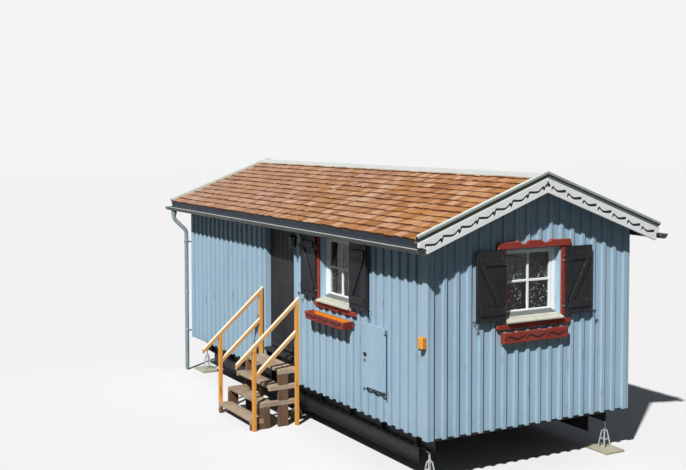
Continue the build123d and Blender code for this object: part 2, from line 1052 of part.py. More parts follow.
front_box = flower_box(front_box_length, front_box_depth, front_box_height, front_box_top)
gable_box = flower_box(gable_box_length, gable_box_depth, gable_box_height, gable_box_top)
nodes = {
    "chassis_beams": group([chassis_beam(), to_back(chassis_beam())]),
    "chassis_cross_members": group(cross_members()),
    "support_stands": group(support_stands()),
    "floor": floor,
    "front_wall_left": front_wall_left,
    "front_wall_over_door": front_wall_over_door,
    "front_wall_right": front_wall_right,
    "back_wall": back_wall,
    "near_gable_wall": near_gable_wall,
    "far_gable_wall": far_gable_wall,
    "roof_deck_front": deck(),
    "roof_deck_back": to_back(deck()),
    "ridge_cap": ridge_cap,
    "verge_caps": group([verge_cap(), to_far_end(verge_cap())]),
    "bargeboards": group([bargeboard(), to_far_end(bargeboard())]),
    "eave_aprons": group([eave_apron(), to_back(eave_apron())]),
    "gutters": group([gutter(), to_back(gutter())]),
    "downpipes": group([downpipe(), to_back(downpipe())]),
    "door_frame": door_frame(),
    "door_threshold": door_threshold(),
    "window_frames": group([place * window_frame() for place in windows]),
    "window_glass": group([place * glass_pane() for place in windows]),
    "window_sills": group([place * window_sill() for place in windows]),
    "window_casings": group([place * casing(side) for place in windows for side in (-1, 1)]),
    "window_heads": group([place * head_board() for place in windows]),
    "window_aprons": group([place * trim_board() for place in windows]),
    "window_curtains": group([place * curtain(side) for place in windows[:2] for side in (-1, 1)]),
    "front_flower_box": Pos(front_box_x, front_y, 0) * front_box,
    "gable_flower_box": on_gable * gable_box,
    "wall_lamp": wall_lamp(),
    "yellow_box": yellow_box(),
    "hatch_frame": hatch_frame(),
    "hinge_pintles": group(
        [place * pin for place in windows[:2] for pin in shutter_pintles()] + door_pintles() + hatch_pintles()
    ),
    "step_sides": group([step_side(), to_left_side(step_side())]),
    "step_treads": group(treads()),
    "step_posts": group(right_posts + [to_left_side(piece) for piece in right_posts]),
    "step_rails": group(right_rails + [to_left_side(piece) for piece in right_rails]),
    "door_leaf": door_leaf(),
    "door_handle": door_handle(),
    "front_shutter_left": on_front * shutter(-1),
    "front_shutter_right": on_front * shutter(1),
    "gable_shutter_left": on_gable * shutter(-1),
    "gable_shutter_right": on_gable * shutter(1),
    "hatch_door": hatch_door(),
}

# The origin is the middle of the bounding box, on the ground.
whole = group(nodes.values()).bounding_box()
origin = Vector(whole.center().X, whole.center().Y, whole.min.Z)
to_origin = Pos(-origin.X, -origin.Y, -origin.Z)

os.makedirs("parts", exist_ok=True)
for name, shape in nodes.items():
    export_step(to_origin * shape, f"parts/{name}.step")
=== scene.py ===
import sys

import json
import logging
import math
import random
from dataclasses import dataclass
from enum import Enum
from itertools import product
from typing import Optional, Sequence, Union

import bpy
import numpy as np
from mathutils import Matrix, Vector

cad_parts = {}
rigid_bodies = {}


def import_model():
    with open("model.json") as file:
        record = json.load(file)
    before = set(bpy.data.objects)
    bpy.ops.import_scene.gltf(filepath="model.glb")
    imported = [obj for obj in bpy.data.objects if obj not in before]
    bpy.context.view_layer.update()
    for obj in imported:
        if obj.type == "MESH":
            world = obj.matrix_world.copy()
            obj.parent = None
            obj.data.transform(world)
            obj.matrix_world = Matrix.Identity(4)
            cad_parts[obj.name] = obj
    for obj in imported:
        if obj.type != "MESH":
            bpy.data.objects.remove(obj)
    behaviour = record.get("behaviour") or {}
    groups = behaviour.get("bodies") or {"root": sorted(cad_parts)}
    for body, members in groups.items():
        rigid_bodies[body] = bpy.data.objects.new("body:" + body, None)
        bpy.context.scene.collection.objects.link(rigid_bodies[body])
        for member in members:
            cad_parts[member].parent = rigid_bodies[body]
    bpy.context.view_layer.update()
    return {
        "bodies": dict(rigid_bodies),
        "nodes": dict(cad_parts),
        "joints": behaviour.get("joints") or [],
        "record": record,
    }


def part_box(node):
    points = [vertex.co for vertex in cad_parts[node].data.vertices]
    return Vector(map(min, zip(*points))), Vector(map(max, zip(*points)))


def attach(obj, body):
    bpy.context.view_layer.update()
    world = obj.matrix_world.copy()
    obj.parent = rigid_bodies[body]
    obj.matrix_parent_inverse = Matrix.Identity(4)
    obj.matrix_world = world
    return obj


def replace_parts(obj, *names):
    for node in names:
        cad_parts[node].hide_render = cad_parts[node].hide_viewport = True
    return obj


# Looks of a small timber chalet, in metres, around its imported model.
# Every wall has its own frame: U to the right as seen from outside, D into the wall, Z up.

LOG = logging.getLogger("chalet")
Colour = tuple[int, int, int]
Value = Union[float, int, tuple, bpy.types.NodeSocket, bpy.types.ID]
Rect = tuple[float, float, float, float]
Outline = Sequence[tuple[float, float]]
WHITE: Colour = (255, 255, 255)


def linear(colour: Colour, factor: float = 1.0) -> tuple[float, float, float, float]:
    """Turns a colour as seen into a shader's linear one.

    Args:
        colour: Red, green and blue from 0 to 255.
        factor: How much lighter or darker it gets.

    Returns:
        Linear red, green, blue and a full alpha.
    """
    toe, slope, offset, power = 0.04045, 12.92, 0.055, 2.4
    parts = [c / 255 for c in colour]
    made = [p / slope if p <= toe else ((p + offset) / (1 + offset)) ** power for p in parts]
    return (*[min(1.0, m * factor) for m in made], 1.0)


class Graph:
    """Adds nodes to a tree. An input is another node's socket or a plain value."""

    kind = "ShaderNodeTree"

    def __init__(self, tree: bpy.types.NodeTree) -> None:
        """Keeps the tree that nodes are added to."""
        self.tree = tree

    @classmethod
    def group(cls, name: str, inputs: Sequence[tuple], outputs: Sequence[tuple]) -> tuple["Graph", dict]:
        """Starts a node group with named sockets.

        Args:
            name: The group's name.
            inputs: Name, socket type and default of each input.
            outputs: Name and socket type of each output.

        Returns:
            The graph, and the group's input sockets by name.
        """
        tree = bpy.data.node_groups.new(name, cls.kind)
        for label, socket, default in inputs:
            item = tree.interface.new_socket(label, in_out="INPUT", socket_type=socket)
            if default is not None:
                item.default_value = default
        for label, socket in outputs:
            tree.interface.new_socket(label, in_out="OUTPUT", socket_type=socket)
        graph = cls(tree)
        source = graph.node("NodeGroupInput")
        return graph, {label: source.outputs[label] for label, _, _ in inputs}

    def give(self, **values: Value) -> bpy.types.NodeTree:
        """Joins values to the group's outputs of the same names and returns the group."""
        sink = self.node("NodeGroupOutput")
        for label, value in values.items():
            self.link(value, sink, label)
        return self.tree

    def node(self, kind: str, inputs: Optional[dict] = None, **settings: object) -> bpy.types.Node:
        """Adds a node.

        Args:
            kind: The node's type name.
            inputs: Values or sockets by input name or number.
            **settings: The node's own settings, set before its inputs.

        Returns:
            The new node.
        """
        made = self.tree.nodes.new(kind)
        for key, value in settings.items():
            setattr(made, key, value)
        for key, value in (inputs or {}).items():
            if isinstance(value, bpy.types.NodeSocket):
                self.link(value, made, key)
            else:
                made.inputs[key].default_value = value
        return made

    def link(self, value: bpy.types.NodeSocket, node: bpy.types.Node, key: Union[str, int]) -> None:
        """Joins a socket to a node's input."""
        self.tree.links.new(value, node.inputs[key])

    def use(self, tree: bpy.types.NodeTree, **inputs: Value) -> bpy.types.NodeOutputs:
        """Adds a shared shader group and returns its outputs."""
        return self.node("ShaderNodeGroup", inputs, node_tree=tree).outputs

    def attribute(self, name: str, output: str = "Fac") -> Value:
        """Returns what a mesh stores under a name, for a shader."""
        return self.node("ShaderNodeAttribute", attribute_name=name).outputs[output]

    def math(self, operation: str, a: Value, b: Value = 0.0, c: Value = 0.0, clamp: bool = False) -> Value:
        """Returns the result of arithmetic on up to three numbers."""
        node = self.node("ShaderNodeMath", {0: a, 1: b, 2: c}, operation=operation, use_clamp=clamp)
        return node.outputs[0]

    def times(self, a: Value, b: Value) -> Value:
        """Returns the product of two numbers."""
        return self.math("MULTIPLY", a, b)

    def plus(self, a: Value, b: Value) -> Value:
        """Returns the sum of two numbers."""
        return self.math("ADD", a, b)

    def less(self, a: Value, b: Value) -> Value:
        """Returns the first number less the second."""
        return self.math("SUBTRACT", a, b)

    def vector(self, operation: str, a: Value, b: Value = (0, 0, 0)) -> Value:
        """Returns the result of arithmetic on two vectors, a number for a dot product."""
        node = self.node("ShaderNodeVectorMath", {0: a, 1: b}, operation=operation)
        return node.outputs["Value" if operation == "DOT_PRODUCT" else "Vector"]

    def stretched(self, a: Value, by: tuple) -> Value:
        """Returns a vector with each part times its own number."""
        return self.vector("MULTIPLY", a, by)

    def scaled(self, a: Value, scale: Value) -> Value:
        """Returns a vector times a number."""
        return self.node("ShaderNodeVectorMath", {0: a, "Scale": scale}, operation="SCALE").outputs["Vector"]

    def part(self, vector: Value, axis: str) -> Value:
        """Returns the X, Y or Z part of a vector."""
        return self.node("ShaderNodeSeparateXYZ", {0: vector}).outputs[axis]

    def joined(self, *parts: Value) -> Value:
        """Returns the vector of up to three parts."""
        return self.node("ShaderNodeCombineXYZ", dict(enumerate(parts))).outputs[0]

    def mix(self, factor: Value, a: Value, b: Value, blend: str = "MIX") -> Value:
        """Returns two colours mixed."""
        inputs = {0: factor, 6: a, 7: b}
        return self.node("ShaderNodeMix", inputs, data_type="RGBA", blend_type=blend).outputs[2]

    def noise(self, vector: Value, scale: float, detail: float = 3.0, rough: float = 0.55) -> Value:
        """Returns a smooth random value about 0.5."""
        inputs = {"Vector": vector, "Scale": scale, "Detail": detail, "Roughness": rough}
        return self.node("ShaderNodeTexNoise", inputs).outputs[0]

    def remap(
        self, value: Value, low: Value, high: Value, to_low: Value = 0.0, to_high: Value = 1.0
    ) -> Value:
        """Returns a value's place between two others, clamped, and put between two more."""
        inputs = {"Value": value, "From Min": low, "From Max": high, "To Min": to_low, "To Max": to_high}
        return self.node("ShaderNodeMapRange", inputs).outputs[0]

    def ramp(self, factor: Value, stops: Sequence[tuple[float, Colour]]) -> Value:
        """Returns the colour at a place along a row of colours.

        Args:
            factor: The place, from 0 to 1.
            stops: Each colour's place and the colour.

        Returns:
            The colour.
        """
        node = self.node("ShaderNodeValToRGB", {0: factor})
        elements = node.color_ramp.elements
        while len(elements) < len(stops):
            elements.new(0.5)
        for element, (place, colour) in zip(elements, stops):
            element.position = place
            element.color = linear(colour)
        return node.outputs[0]


# Effects that several finishes share

FLOAT = "NodeSocketFloat"
VECTOR = "NodeSocketVector"


def grain_effect() -> bpy.types.NodeTree:
    """Builds the grain of sawn timber, along the vector's first part."""
    graph, given = Graph.group(
        "timber_grain",
        [("Vector", VECTOR, None), ("Fineness", FLOAT, 1.0)],
        [("Streak", FLOAT), ("Fibre", FLOAT), ("Knot", FLOAT), ("Height", FLOAT)],
    )
    along = graph.scaled(given["Vector"], given["Fineness"])
    broad = graph.noise(graph.stretched(along, (1.1, 24, 24)), 1.6, 4, 0.6)
    fibre = graph.noise(graph.stretched(along, (6, 210, 210)), 1.0, 2, 0.5)
    rings = {"Scale": 3.0, "Distortion": 5.0, "Detail": 2.0, "Detail Scale": 1.2}
    rings["Vector"] = graph.stretched(along, (0.5, 9, 9))
    wave = graph.node("ShaderNodeTexWave", rings, bands_direction="Y").outputs[1]
    knots = {"Vector": graph.stretched(along, (1.7, 11, 11)), "Scale": 1.0}
    cells = graph.node("ShaderNodeTexVoronoi", knots).outputs["Distance"]
    streak = graph.plus(graph.times(broad, 0.7), graph.times(wave, 0.3))
    return graph.give(
        Streak=graph.remap(streak, 0.3, 0.72),
        Fibre=graph.remap(fibre, 0.35, 0.65),
        Knot=graph.remap(cells, 0.16, 0.05),
        Height=graph.plus(graph.times(streak, 0.6), graph.times(fibre, 0.4)),
    )


def weather_effect() -> bpy.types.NodeTree:
    """Builds the marks of weather: splashes near the foot, blotches and runs down the face."""
    graph, given = Graph.group(
        "weather_marks",
        [("Vector", VECTOR, None), ("Foot", FLOAT, 0.5), ("Reach", FLOAT, 0.6)],
        [("Splash", FLOAT), ("Blotch", FLOAT), ("Run", FLOAT)],
    )
    place = given["Vector"]
    high = graph.plus(given["Foot"], given["Reach"])
    low = graph.math("POWER", graph.remap(graph.part(place, "Z"), high, given["Foot"]), 1.6)
    spray = graph.remap(graph.noise(place, 17, 5, 0.7), 0.35, 0.75, 0.15, 1.0)
    runs = graph.noise(graph.stretched(place, (17, 17, 0.8)), 1.0, 4, 0.6)
    return graph.give(
        Splash=graph.times(low, spray),
        Blotch=graph.remap(graph.noise(place, 2.1, 4, 0.6), 0.35, 0.7),
        Run=graph.remap(runs, 0.42, 0.75),
    )


def wear_effect() -> bpy.types.NodeTree:
    """Builds the worn places along the edges that a piece marks."""
    graph, given = Graph.group(
        "edge_wear",
        [("Edge", FLOAT, 0.0), ("Vector", VECTOR, None), ("Amount", FLOAT, 0.5)],
        [("Mask", FLOAT)],
    )
    rough = graph.noise(given["Vector"], 26, 5, 0.7)
    start = graph.less(0.82, graph.times(given["Amount"], 0.6))
    chips = graph.remap(rough, start, graph.plus(start, 0.08))
    scuffs = graph.remap(rough, graph.plus(start, 0.26), graph.plus(start, 0.34), 0.0, 0.6)
    return graph.give(Mask=graph.math("MAXIMUM", graph.times(given["Edge"], chips), scuffs))


def patina_effect() -> bpy.types.NodeTree:
    """Builds the bloom, spots and drips of bare or painted sheet metal."""
    graph, given = Graph.group(
        "metal_patina",
        [("Vector", VECTOR, None), ("Size", FLOAT, 1.0)],
        [("Bloom", FLOAT), ("Spots", FLOAT), ("Drips", FLOAT)],
    )
    place = graph.scaled(given["Vector"], given["Size"])
    drips = graph.noise(graph.stretched(place, (26, 26, 1.1)), 1.0, 3, 0.6)
    return graph.give(
        Bloom=graph.remap(graph.noise(place, 6, 6, 0.68), 0.32, 0.7),
        Spots=graph.remap(graph.noise(place, 75, 2, 0.5), 0.6, 0.75),
        Drips=graph.remap(drips, 0.45, 0.75),
    )


class Effects:
    """The shared shader groups, each built once."""

    def __init__(self) -> None:
        """Builds the four groups."""
        self.grain = grain_effect()
        self.weather = weather_effect()
        self.wear = wear_effect()
        self.patina = patina_effect()


class Follows(Enum):
    """What the pattern of a finish runs along."""

    MEMBER = "each member's own length"
    LENGTH = "the length of the hut"
    HEIGHT = "plumb"


class Surface(Graph):
    """The graph of one material, with the places, marks and masks that finishes share."""

    def __init__(self, finish: "Finish", effects: Effects) -> None:
        """Starts the material of a finish, with its plain shader.

        Args:
            finish: The finish that it shows.
            effects: The shader groups that all finishes share.
        """
        self.material = bpy.data.materials.new(finish.name)
        self.material.use_nodes = True
        self.material.diffuse_color = linear(finish.colour)
        super().__init__(self.material.node_tree)
        self.tree.nodes.clear()
        self.effects = effects
        self.shader = self.node("ShaderNodeBsdfPrincipled", {"Specular IOR Level": finish.gloss})
        self.link(self.shader.outputs[0], self.node("ShaderNodeOutputMaterial"), 0)
        self.spot = self.node("ShaderNodeTexCoord").outputs["Object"]

    def place(self, follows: Follows) -> Value:
        """Returns a place whose first part runs along the grain.

        Args:
            follows: What the grain follows.

        Returns:
            The place.
        """
        if follows is Follows.MEMBER:
            return self.attribute("grain", "Vector")
        if follows is Follows.LENGTH:
            return self.spot
        return self.joined(*[self.part(self.spot, axis) for axis in "ZXY"])

    def grain(self, follows: Follows, fineness: float = 1.0) -> bpy.types.NodeOutputs:
        """Returns the outputs of the grain."""
        return self.use(self.effects.grain, Vector=self.place(follows), Fineness=fineness)

    def marks(self) -> bpy.types.NodeOutputs:
        """Returns the outputs of the marks of weather."""
        return self.use(self.effects.weather, Vector=self.spot)

    def patina(self, size: float = 1.0) -> bpy.types.NodeOutputs:
        """Returns the outputs of the patina."""
        return self.use(self.effects.patina, Vector=self.spot, Size=size)

    def worn(self, amount: float) -> Value:
        """Returns the mask of worn edges."""
        edge = self.attribute("edge")
        return self.use(self.effects.wear, Edge=edge, Vector=self.spot, Amount=amount)["Mask"]

    def facing(self, axis: str, low: float, high: float) -> Value:
        """Returns 1 where faces look along an axis by more than high, 0 below low."""
        normal = self.node("ShaderNodeNewGeometry").outputs["Normal"]
        return self.remap(self.part(normal, axis), low, high)

    def over(self, base: Value, factor: Value, colour: Colour) -> Value:
        """Returns a base with a colour laid over it where the factor says."""
        return self.mix(factor, base, linear(colour))

    def dress(self, colour: Value, rough: Value, height: Value, depth: float) -> None:
        """Joins colour, roughness and a bump to the shader."""
        bump = self.node("ShaderNodeBump", {"Height": height, "Distance": depth, "Strength": 0.8})
        for value, key in ((colour, "Base Color"), (rough, "Roughness"), (bump.outputs[0], "Normal")):
            self.link(value, self.shader, key)


@dataclass(frozen=True)
class Finish:
    """What every finish has: a name, a colour as seen, a roughness, and how strongly it mirrors."""

    name: str
    colour: Colour
    rough: float = 0.6
    gloss: float = 0.5

    def material(self, effects: Effects) -> bpy.types.Material:
        """Builds the material."""
        surface = Surface(self, effects)
        self.draw(surface)
        return surface.material

    def draw(self, s: Surface) -> None:
        """Draws the finish on a surface."""
        raise NotImplementedError


@dataclass(frozen=True)
class Paint(Finish):
    """Painted timber: brushed colour over grain, worn at the edges and splashed at the foot."""

    gloss: float = 0.18
    beneath: Colour = (150, 134, 112)
    grime: Colour = (92, 92, 84)
    faded: Colour = (235, 236, 234)
    spread: float = 0.07
    wear: float = 0.35
    splash: float = 0.25
    runs: float = 0.12
    fibres: float = 0.08
    knots: float = 0.0
    chalk: float = 0.1
    bump: float = 0.0009
    follows: Follows = Follows.MEMBER

    def draw(self, s: Surface) -> None:
        """Draws the paint.

        Args:
            s: The surface to draw on.
        """
        grain, marks = s.grain(self.follows), s.marks()
        tone = s.remap(s.attribute("tone"), -1, 1, 0.0, 0.6)
        shade = s.math("MULTIPLY_ADD", grain["Streak"], 0.4, tone)
        base = s.mix(shade, linear(self.colour, 1 - self.spread), linear(self.colour, 1 + self.spread))
        base = s.over(base, s.times(marks["Blotch"], self.chalk), self.faded)
        splashes, runs = s.times(marks["Splash"], self.splash), s.times(marks["Run"], self.runs)
        base = s.over(base, s.math("MAXIMUM", splashes, runs), self.grime)
        base = s.over(base, s.times(grain["Fibre"], self.fibres), self.grime)
        if self.knots:
            base = s.over(base, s.times(grain["Knot"], self.knots), self.grime)
        base = s.over(base, s.worn(self.wear), self.beneath)
        rough = s.remap(grain["Streak"], 0, 1, self.rough - 0.08, self.rough + 0.12)
        s.dress(base, rough, grain["Height"], self.bump)


@dataclass(frozen=True)
class Timber(Finish):
    """Bare or oiled timber with rings, fibres, knots and silvering."""

    gloss: float = 0.2
    dark: Colour = (120, 84, 50)
    knot: Colour = (96, 58, 30)
    silver: Colour = (150, 146, 138)
    # colour of the painted highlight on upward faces
    pale: Colour = (255, 238, 214)
    silvering: float = 0.2
    spread: float = 0.14
    evenness: float = 0.45
    fibres: float = 0.16
    knots: float = 0.7
    wear: float = 0.3
    # how strongly upward faces get the painted highlight, as if sunlit
    painted_top_highlight: float = 0.0
    bump: float = 0.0012
    follows: Follows = Follows.MEMBER

    def draw(self, s: Surface) -> None:
        """Draws the timber, and where its top highlight is set, paints a highlight on its upper faces, lighter
        as if sunlit.

        Args:
            s: The surface to draw on.
        """
        grain, marks = s.grain(self.follows), s.marks()
        base = s.mix(grain["Streak"], linear(self.dark), linear(self.colour))
        base = s.over(base, self.evenness, self.colour)
        tone = s.remap(s.attribute("tone"), -1, 1)
        base = s.mix(1.0, base, s.mix(tone, linear(WHITE, 1 - self.spread), linear(WHITE)), "MULTIPLY")
        base = s.over(base, s.times(grain["Fibre"], self.fibres), self.dark)
        base = s.over(base, s.times(grain["Knot"], self.knots), self.knot)
        base = s.over(base, s.times(s.plus(marks["Blotch"], marks["Run"]), self.silvering), self.silver)
        base = s.over(base, s.times(s.worn(self.wear), 0.5), self.silver)
        # painted highlight: upward faces mixed towards the pale colour, as if lit from above
        if self.painted_top_highlight:
            base = s.over(base, s.times(s.facing("Z", 0.25, 0.6), self.painted_top_highlight), self.pale)
        rough = s.remap(grain["Streak"], 0, 1, self.rough + 0.1, self.rough - 0.05)
        s.dress(base, rough, grain["Height"], self.bump)


@dataclass(frozen=True)
class Shakes(Finish):
    """Split roof shingles, each of its own tone, furrowed along and darker at the lower end, with painted shade
    just below each overlying course.

    They are greyer towards the far gable and more golden towards the near one.
    """

    gloss: float = 0.15
    tones: tuple[tuple[float, Colour], ...] = ()
    butt: Colour = (48, 27, 18)
    fibre: Colour = (92, 54, 32)
    grey: Colour = (178, 154, 142)
    amber: Colour = (204, 126, 44)
    moss: Colour = (196, 138, 44)
    streaks: Colour = (186, 166, 150)
    # colour of the painted shade below each overlying butt, also used for each shingle's darker lower rim
    shade_below_butts: Colour = (96, 54, 32)

    def draw(self, s: Surface) -> None:
        """Draws the shingles.

        Args:
            s: The surface to draw on.
        """
        grain, marks, run = s.grain(Follows.MEMBER, 1.3), s.marks(), s.attribute("run")
        tone = s.remap(s.attribute("tone"), -1, 1, -0.05, 0.72)
        base = s.ramp(s.math("MULTIPLY_ADD", grain["Streak"], 0.36, tone), self.tones)
        base = s.over(base, s.times(grain["Fibre"], 0.42), self.fibre)
        drift = s.math("MULTIPLY_ADD", s.noise(s.spot, 1.1, 2), 4.0, s.part(s.spot, "X"))
        base = s.over(base, s.remap(drift, 4.6, -0.6, 0.06, 0.46), self.grey)
        base = s.over(base, s.remap(drift, 3.2, 6.0, 0.0, 0.16), self.amber)
        patches = s.remap(s.noise(s.spot, 7, 3), 0.42, 0.6, 0.12, 0.5)
        base = s.over(base, s.times(marks["Blotch"], patches), self.moss)
        base = s.over(base, s.times(marks["Run"], 0.16), self.streaks)
        # painted shade: the top of each shingle's visible part, just below the next course's butt, is darkened
        # as if shaded by it
        under = s.times(s.remap(run, 0.52, 0.66), 0.93)
        lip = s.times(s.remap(run, 0.05, 0.0), 0.35)
        base = s.over(base, s.math("MAXIMUM", under, lip), self.shade_below_butts)
        base = s.over(base, s.times(s.attribute("edge"), 0.92), self.butt)
        rough = s.remap(grain["Streak"], 0, 1, self.rough, self.rough - 0.12)
        s.dress(base, rough, grain["Height"], 0.002)


@dataclass(frozen=True)
class Deck(Finish):
    """The roof deck: felt on top and at the edges, painted boards beneath."""

    gloss: float = 0.15
    soffit: Colour = (150, 176, 194)
    soffit_rough: float = 0.65
    board: float = 0.12

    def draw(self, s: Surface) -> None:
        """Draws the felt and the boards.

        Args:
            s: The surface to draw on.
        """
        grain, patina = s.grain(Follows.LENGTH), s.patina(2.0)
        felt = s.mix(patina["Spots"], linear(self.colour), linear(self.colour, 1.8))
        boards = s.mix(s.times(grain["Streak"], 0.3), linear(self.soffit), linear(self.soffit, 0.8))
        share = s.math("FRACT", s.math("DIVIDE", s.part(s.spot, "Y"), self.board))
        groove = s.remap(s.math("ABSOLUTE", s.less(share, 0.5)), 0.46, 0.485)
        boards = s.mix(groove, boards, linear(self.soffit, 0.25))
        under = s.facing("Z", -0.3, -0.6)
        height = s.less(grain["Height"], s.times(groove, 3.0))
        rough = s.remap(under, 0, 1, self.rough, self.soffit_rough)
        s.dress(s.mix(under, felt, boards), rough, height, 0.001)


@dataclass(frozen=True)
class Sheet(Finish):
    """Sheet metal, bare or coated, with a bloom, spots and drips.

    A side shade below 1 paints shade on the faces that look out of the gables, darker than the lit top.
    """

    metal: float = 0.55
    bloom: Colour = (176, 182, 180)
    dull: float = 0.25
    painted_side_shade: float = 1.0

    def draw(self, s: Surface) -> None:
        """Draws the metal.

        Args:
            s: The surface to draw on.
        """
        patina = s.patina()
        base = s.mix(s.times(patina["Bloom"], 0.45), linear(self.colour), linear(self.bloom))
        base = s.mix(s.times(patina["Drips"], self.dull), base, linear(self.colour, 0.55))
        base = s.mix(s.times(patina["Spots"], 0.25), base, linear(self.colour, 0.6))
        # painted shade on the faces that look out of the gables
        if self.painted_side_shade < 1:
            normal = s.node("ShaderNodeNewGeometry").outputs["Normal"]
            outwards = s.times(s.part(normal, "X"), s.math("SIGN", s.part(s.spot, "X")))
            base = s.mix(s.remap(outwards, 0.4, 0.7), base, linear(self.colour, self.painted_side_shade))
        s.shader.inputs["Metallic"].default_value = self.metal
        rough = s.remap(patina["Bloom"], 0, 1, self.rough - 0.08, self.rough + 0.12)
        s.dress(base, rough, patina["Bloom"], 0.0006)


@dataclass(frozen=True)
class Moulded(Finish):
    """Moulded plastic, slightly faded and dusty."""

    faded: Colour = (240, 232, 210)

    def draw(self, s: Surface) -> None:
        """Draws the plastic.

        Args:
            s: The surface to draw on.
        """
        patina = s.patina(3.0)
        base = s.mix(s.times(patina["Bloom"], 0.07), linear(self.colour), linear(self.faded))
        base = s.mix(s.times(patina["Drips"], 0.15), base, linear(self.colour, 0.6))
        s.dress(base, s.remap(patina["Bloom"], 0, 1, 0.36, 0.5), patina["Bloom"], 0.0003)


@dataclass(frozen=True)
class Pane(Finish):
    """Clear glass with a little dust, which casts only a faint shadow."""

    dusty: Colour = (200, 205, 205)

    def draw(self, s: Surface) -> None:
        """Draws the glass.

        Args:
            s: The surface to draw on.
        """
        dust = s.remap(s.noise(s.spot, 9, 4, 0.6), 0.3, 0.8, 0.02, 0.09)
        shadow = s.node("ShaderNodeLightPath").outputs["Is Shadow Ray"]
        s.link(dust, s.shader, "Roughness")
        s.link(s.mix(dust, linear(self.colour), linear(self.dusty)), s.shader, "Base Color")
        s.link(s.less(1.0, s.times(shadow, 0.8)), s.shader, "Alpha")
        s.shader.inputs["Transmission Weight"].default_value = 1.0
        s.shader.inputs["IOR"].default_value = 1.3


@dataclass(frozen=True)
class Lace(Finish):
    """A fine net with a hem, and woven dots that thin out towards the top."""

    dots: float = 36.0
    threads: float = 190.0

    def draw(self, s: Surface) -> None:
        """Draws the net.

        Args:
            s: The surface to draw on.
        """
        cloth = s.attribute("cloth", "Vector")
        height = s.part(cloth, "Y")
        spots = {"Vector": cloth, "Scale": self.dots, "Randomness": 0.9}
        spot = s.remap(s.node("ShaderNodeTexVoronoi", spots).outputs[0], 0.36, 0.24)
        some = s.times(s.remap(height, 0.74, 0.5), s.remap(s.noise(cloth, 9, 2), 0.36, 0.46))
        dot = s.times(spot, some)
        mesh = {"Vector": cloth, "Scale": self.threads}
        thread = s.node("ShaderNodeTexVoronoi", mesh, feature="DISTANCE_TO_EDGE").outputs[0]
        net = s.remap(thread, 0.12, 0.06, 0.0, 0.055)
        woven = s.math("MAXIMUM", dot, s.remap(height, 0.03, 0.024))
        s.link(s.math("MAXIMUM", net, woven, clamp=True), s.shader, "Alpha")
        tint = s.mix(s.noise(cloth, 30, 2), linear(self.colour, 0.85), linear(self.colour))
        s.dress(tint, s.remap(dot, 0, 1, 0.8, 0.95), dot, 0.0004)


# Shapes

X_AXIS, Y_AXIS, Z_AXIS = (1.0, 0.0, 0.0), (0.0, 1.0, 0.0), (0.0, 0.0, 1.0)
SIDES = (-1, 1)
CORNERS = list(product(SIDES, repeat=3))


def box_faces() -> tuple[np.ndarray, np.ndarray, list[tuple[int, ...]], list[bool]]:
    """Works out a chamfered box.

    Returns:
        The corners' signs, the signs of their insets, the faces turned outwards, and which are chamfers.
    """
    corner = np.array([c for c in CORNERS for _ in range(3)], float)
    insets = [[0 if a == axis else -s for a, s in enumerate(c)] for c in CORNERS for axis in range(3)]
    inset = np.array(insets, float)
    index = {c: 3 * i for i, c in enumerate(CORNERS)}
    faces, worn = [], []
    for axis in range(3):
        b, c = (axis + 1) % 3, (axis + 2) % 3

        def point(*signs: int) -> int:
            """Returns the first point of the corner with these signs along axis, b and c."""
            key = dict(zip((axis, b, c), signs))
            return index[key[0], key[1], key[2]]

        for sign in SIDES:
            faces.append(tuple(point(sign, *pair) + axis for pair in ((-1, -1), (1, -1), (1, 1), (-1, 1))))
            worn.append(False)
        for pair in product(SIDES, repeat=2):
            i, j = point(-1, *pair), point(1, *pair)
            faces.append((i + b, j + b, j + c, i + c))
            worn.append(True)
    faces += [(3 * i, 3 * i + 1, 3 * i + 2) for i in range(len(CORNERS))]
    worn += [True] * len(CORNERS)
    points = corner + inset * 0.2
    turned_out = []
    for face in faces:
        p = points[list(face)]
        normal = np.cross(p[1] - p[0], p[2] - p[0])
        turned_out.append(face if normal @ p.mean(0) > 0 else face[::-1])
    return corner, inset, turned_out, worn


BOX_CORNER, BOX_INSET, BOX_FACES, BOX_WORN = box_faces()


@dataclass
class Shape:
    """Points and faces of one member, which faces are worn edges, and the way its grain runs."""

    points: np.ndarray
    faces: list
    worn: list
    along: tuple = Z_AXIS

    def moved(self, matrix: Matrix) -> "Shape":
        """Returns the same member in another place."""
        turn = np.array(matrix.to_3x3())
        points = self.points @ turn.T + np.array(matrix.translation)
        return Shape(points, self.faces, self.worn, tuple(turn @ np.array(self.along)))


def box(
    low: Sequence[float], high: Sequence[float], chamfer: float = 0.003, along: Optional[tuple] = None
) -> Shape:
    """Makes a box with broken edges.

    Args:
        low: One corner.
        high: The opposite corner.
        chamfer: Width of the broken edge.
        along: Grain direction; the longest side if it is left out.

    Returns:
        The shape.
    """
    a, b = np.minimum(low, high), np.maximum(low, high)
    size = b - a
    cut = min(chamfer, size.min() * 0.3)
    points = (a + b) / 2 + BOX_CORNER * size / 2 + BOX_INSET * cut
    longest = (X_AXIS, Y_AXIS, Z_AXIS)[int(size.argmax())]
    return Shape(points, BOX_FACES, BOX_WORN, along or longest)


def inset_outline(outline: np.ndarray, by: float) -> np.ndarray:
    """Returns a counter-clockwise outline moved inwards.

    Args:
        outline: Its points.
        by: How far each side moves.

    Returns:
        The smaller outline.
    """
    before = outline - np.roll(outline, 1, 0)
    after = np.roll(outline, -1, 0) - outline
    before /= np.linalg.norm(before, axis=1)[:, None]
    after /= np.linalg.norm(after, axis=1)[:, None]
    n1 = np.stack([-before[:, 1], before[:, 0]], 1)
    n2 = np.stack([-after[:, 1], after[:, 0]], 1)
    return outline + by * (n1 + n2) / np.maximum(0.35, 1 + (n1 * n2).sum(1))[:, None]


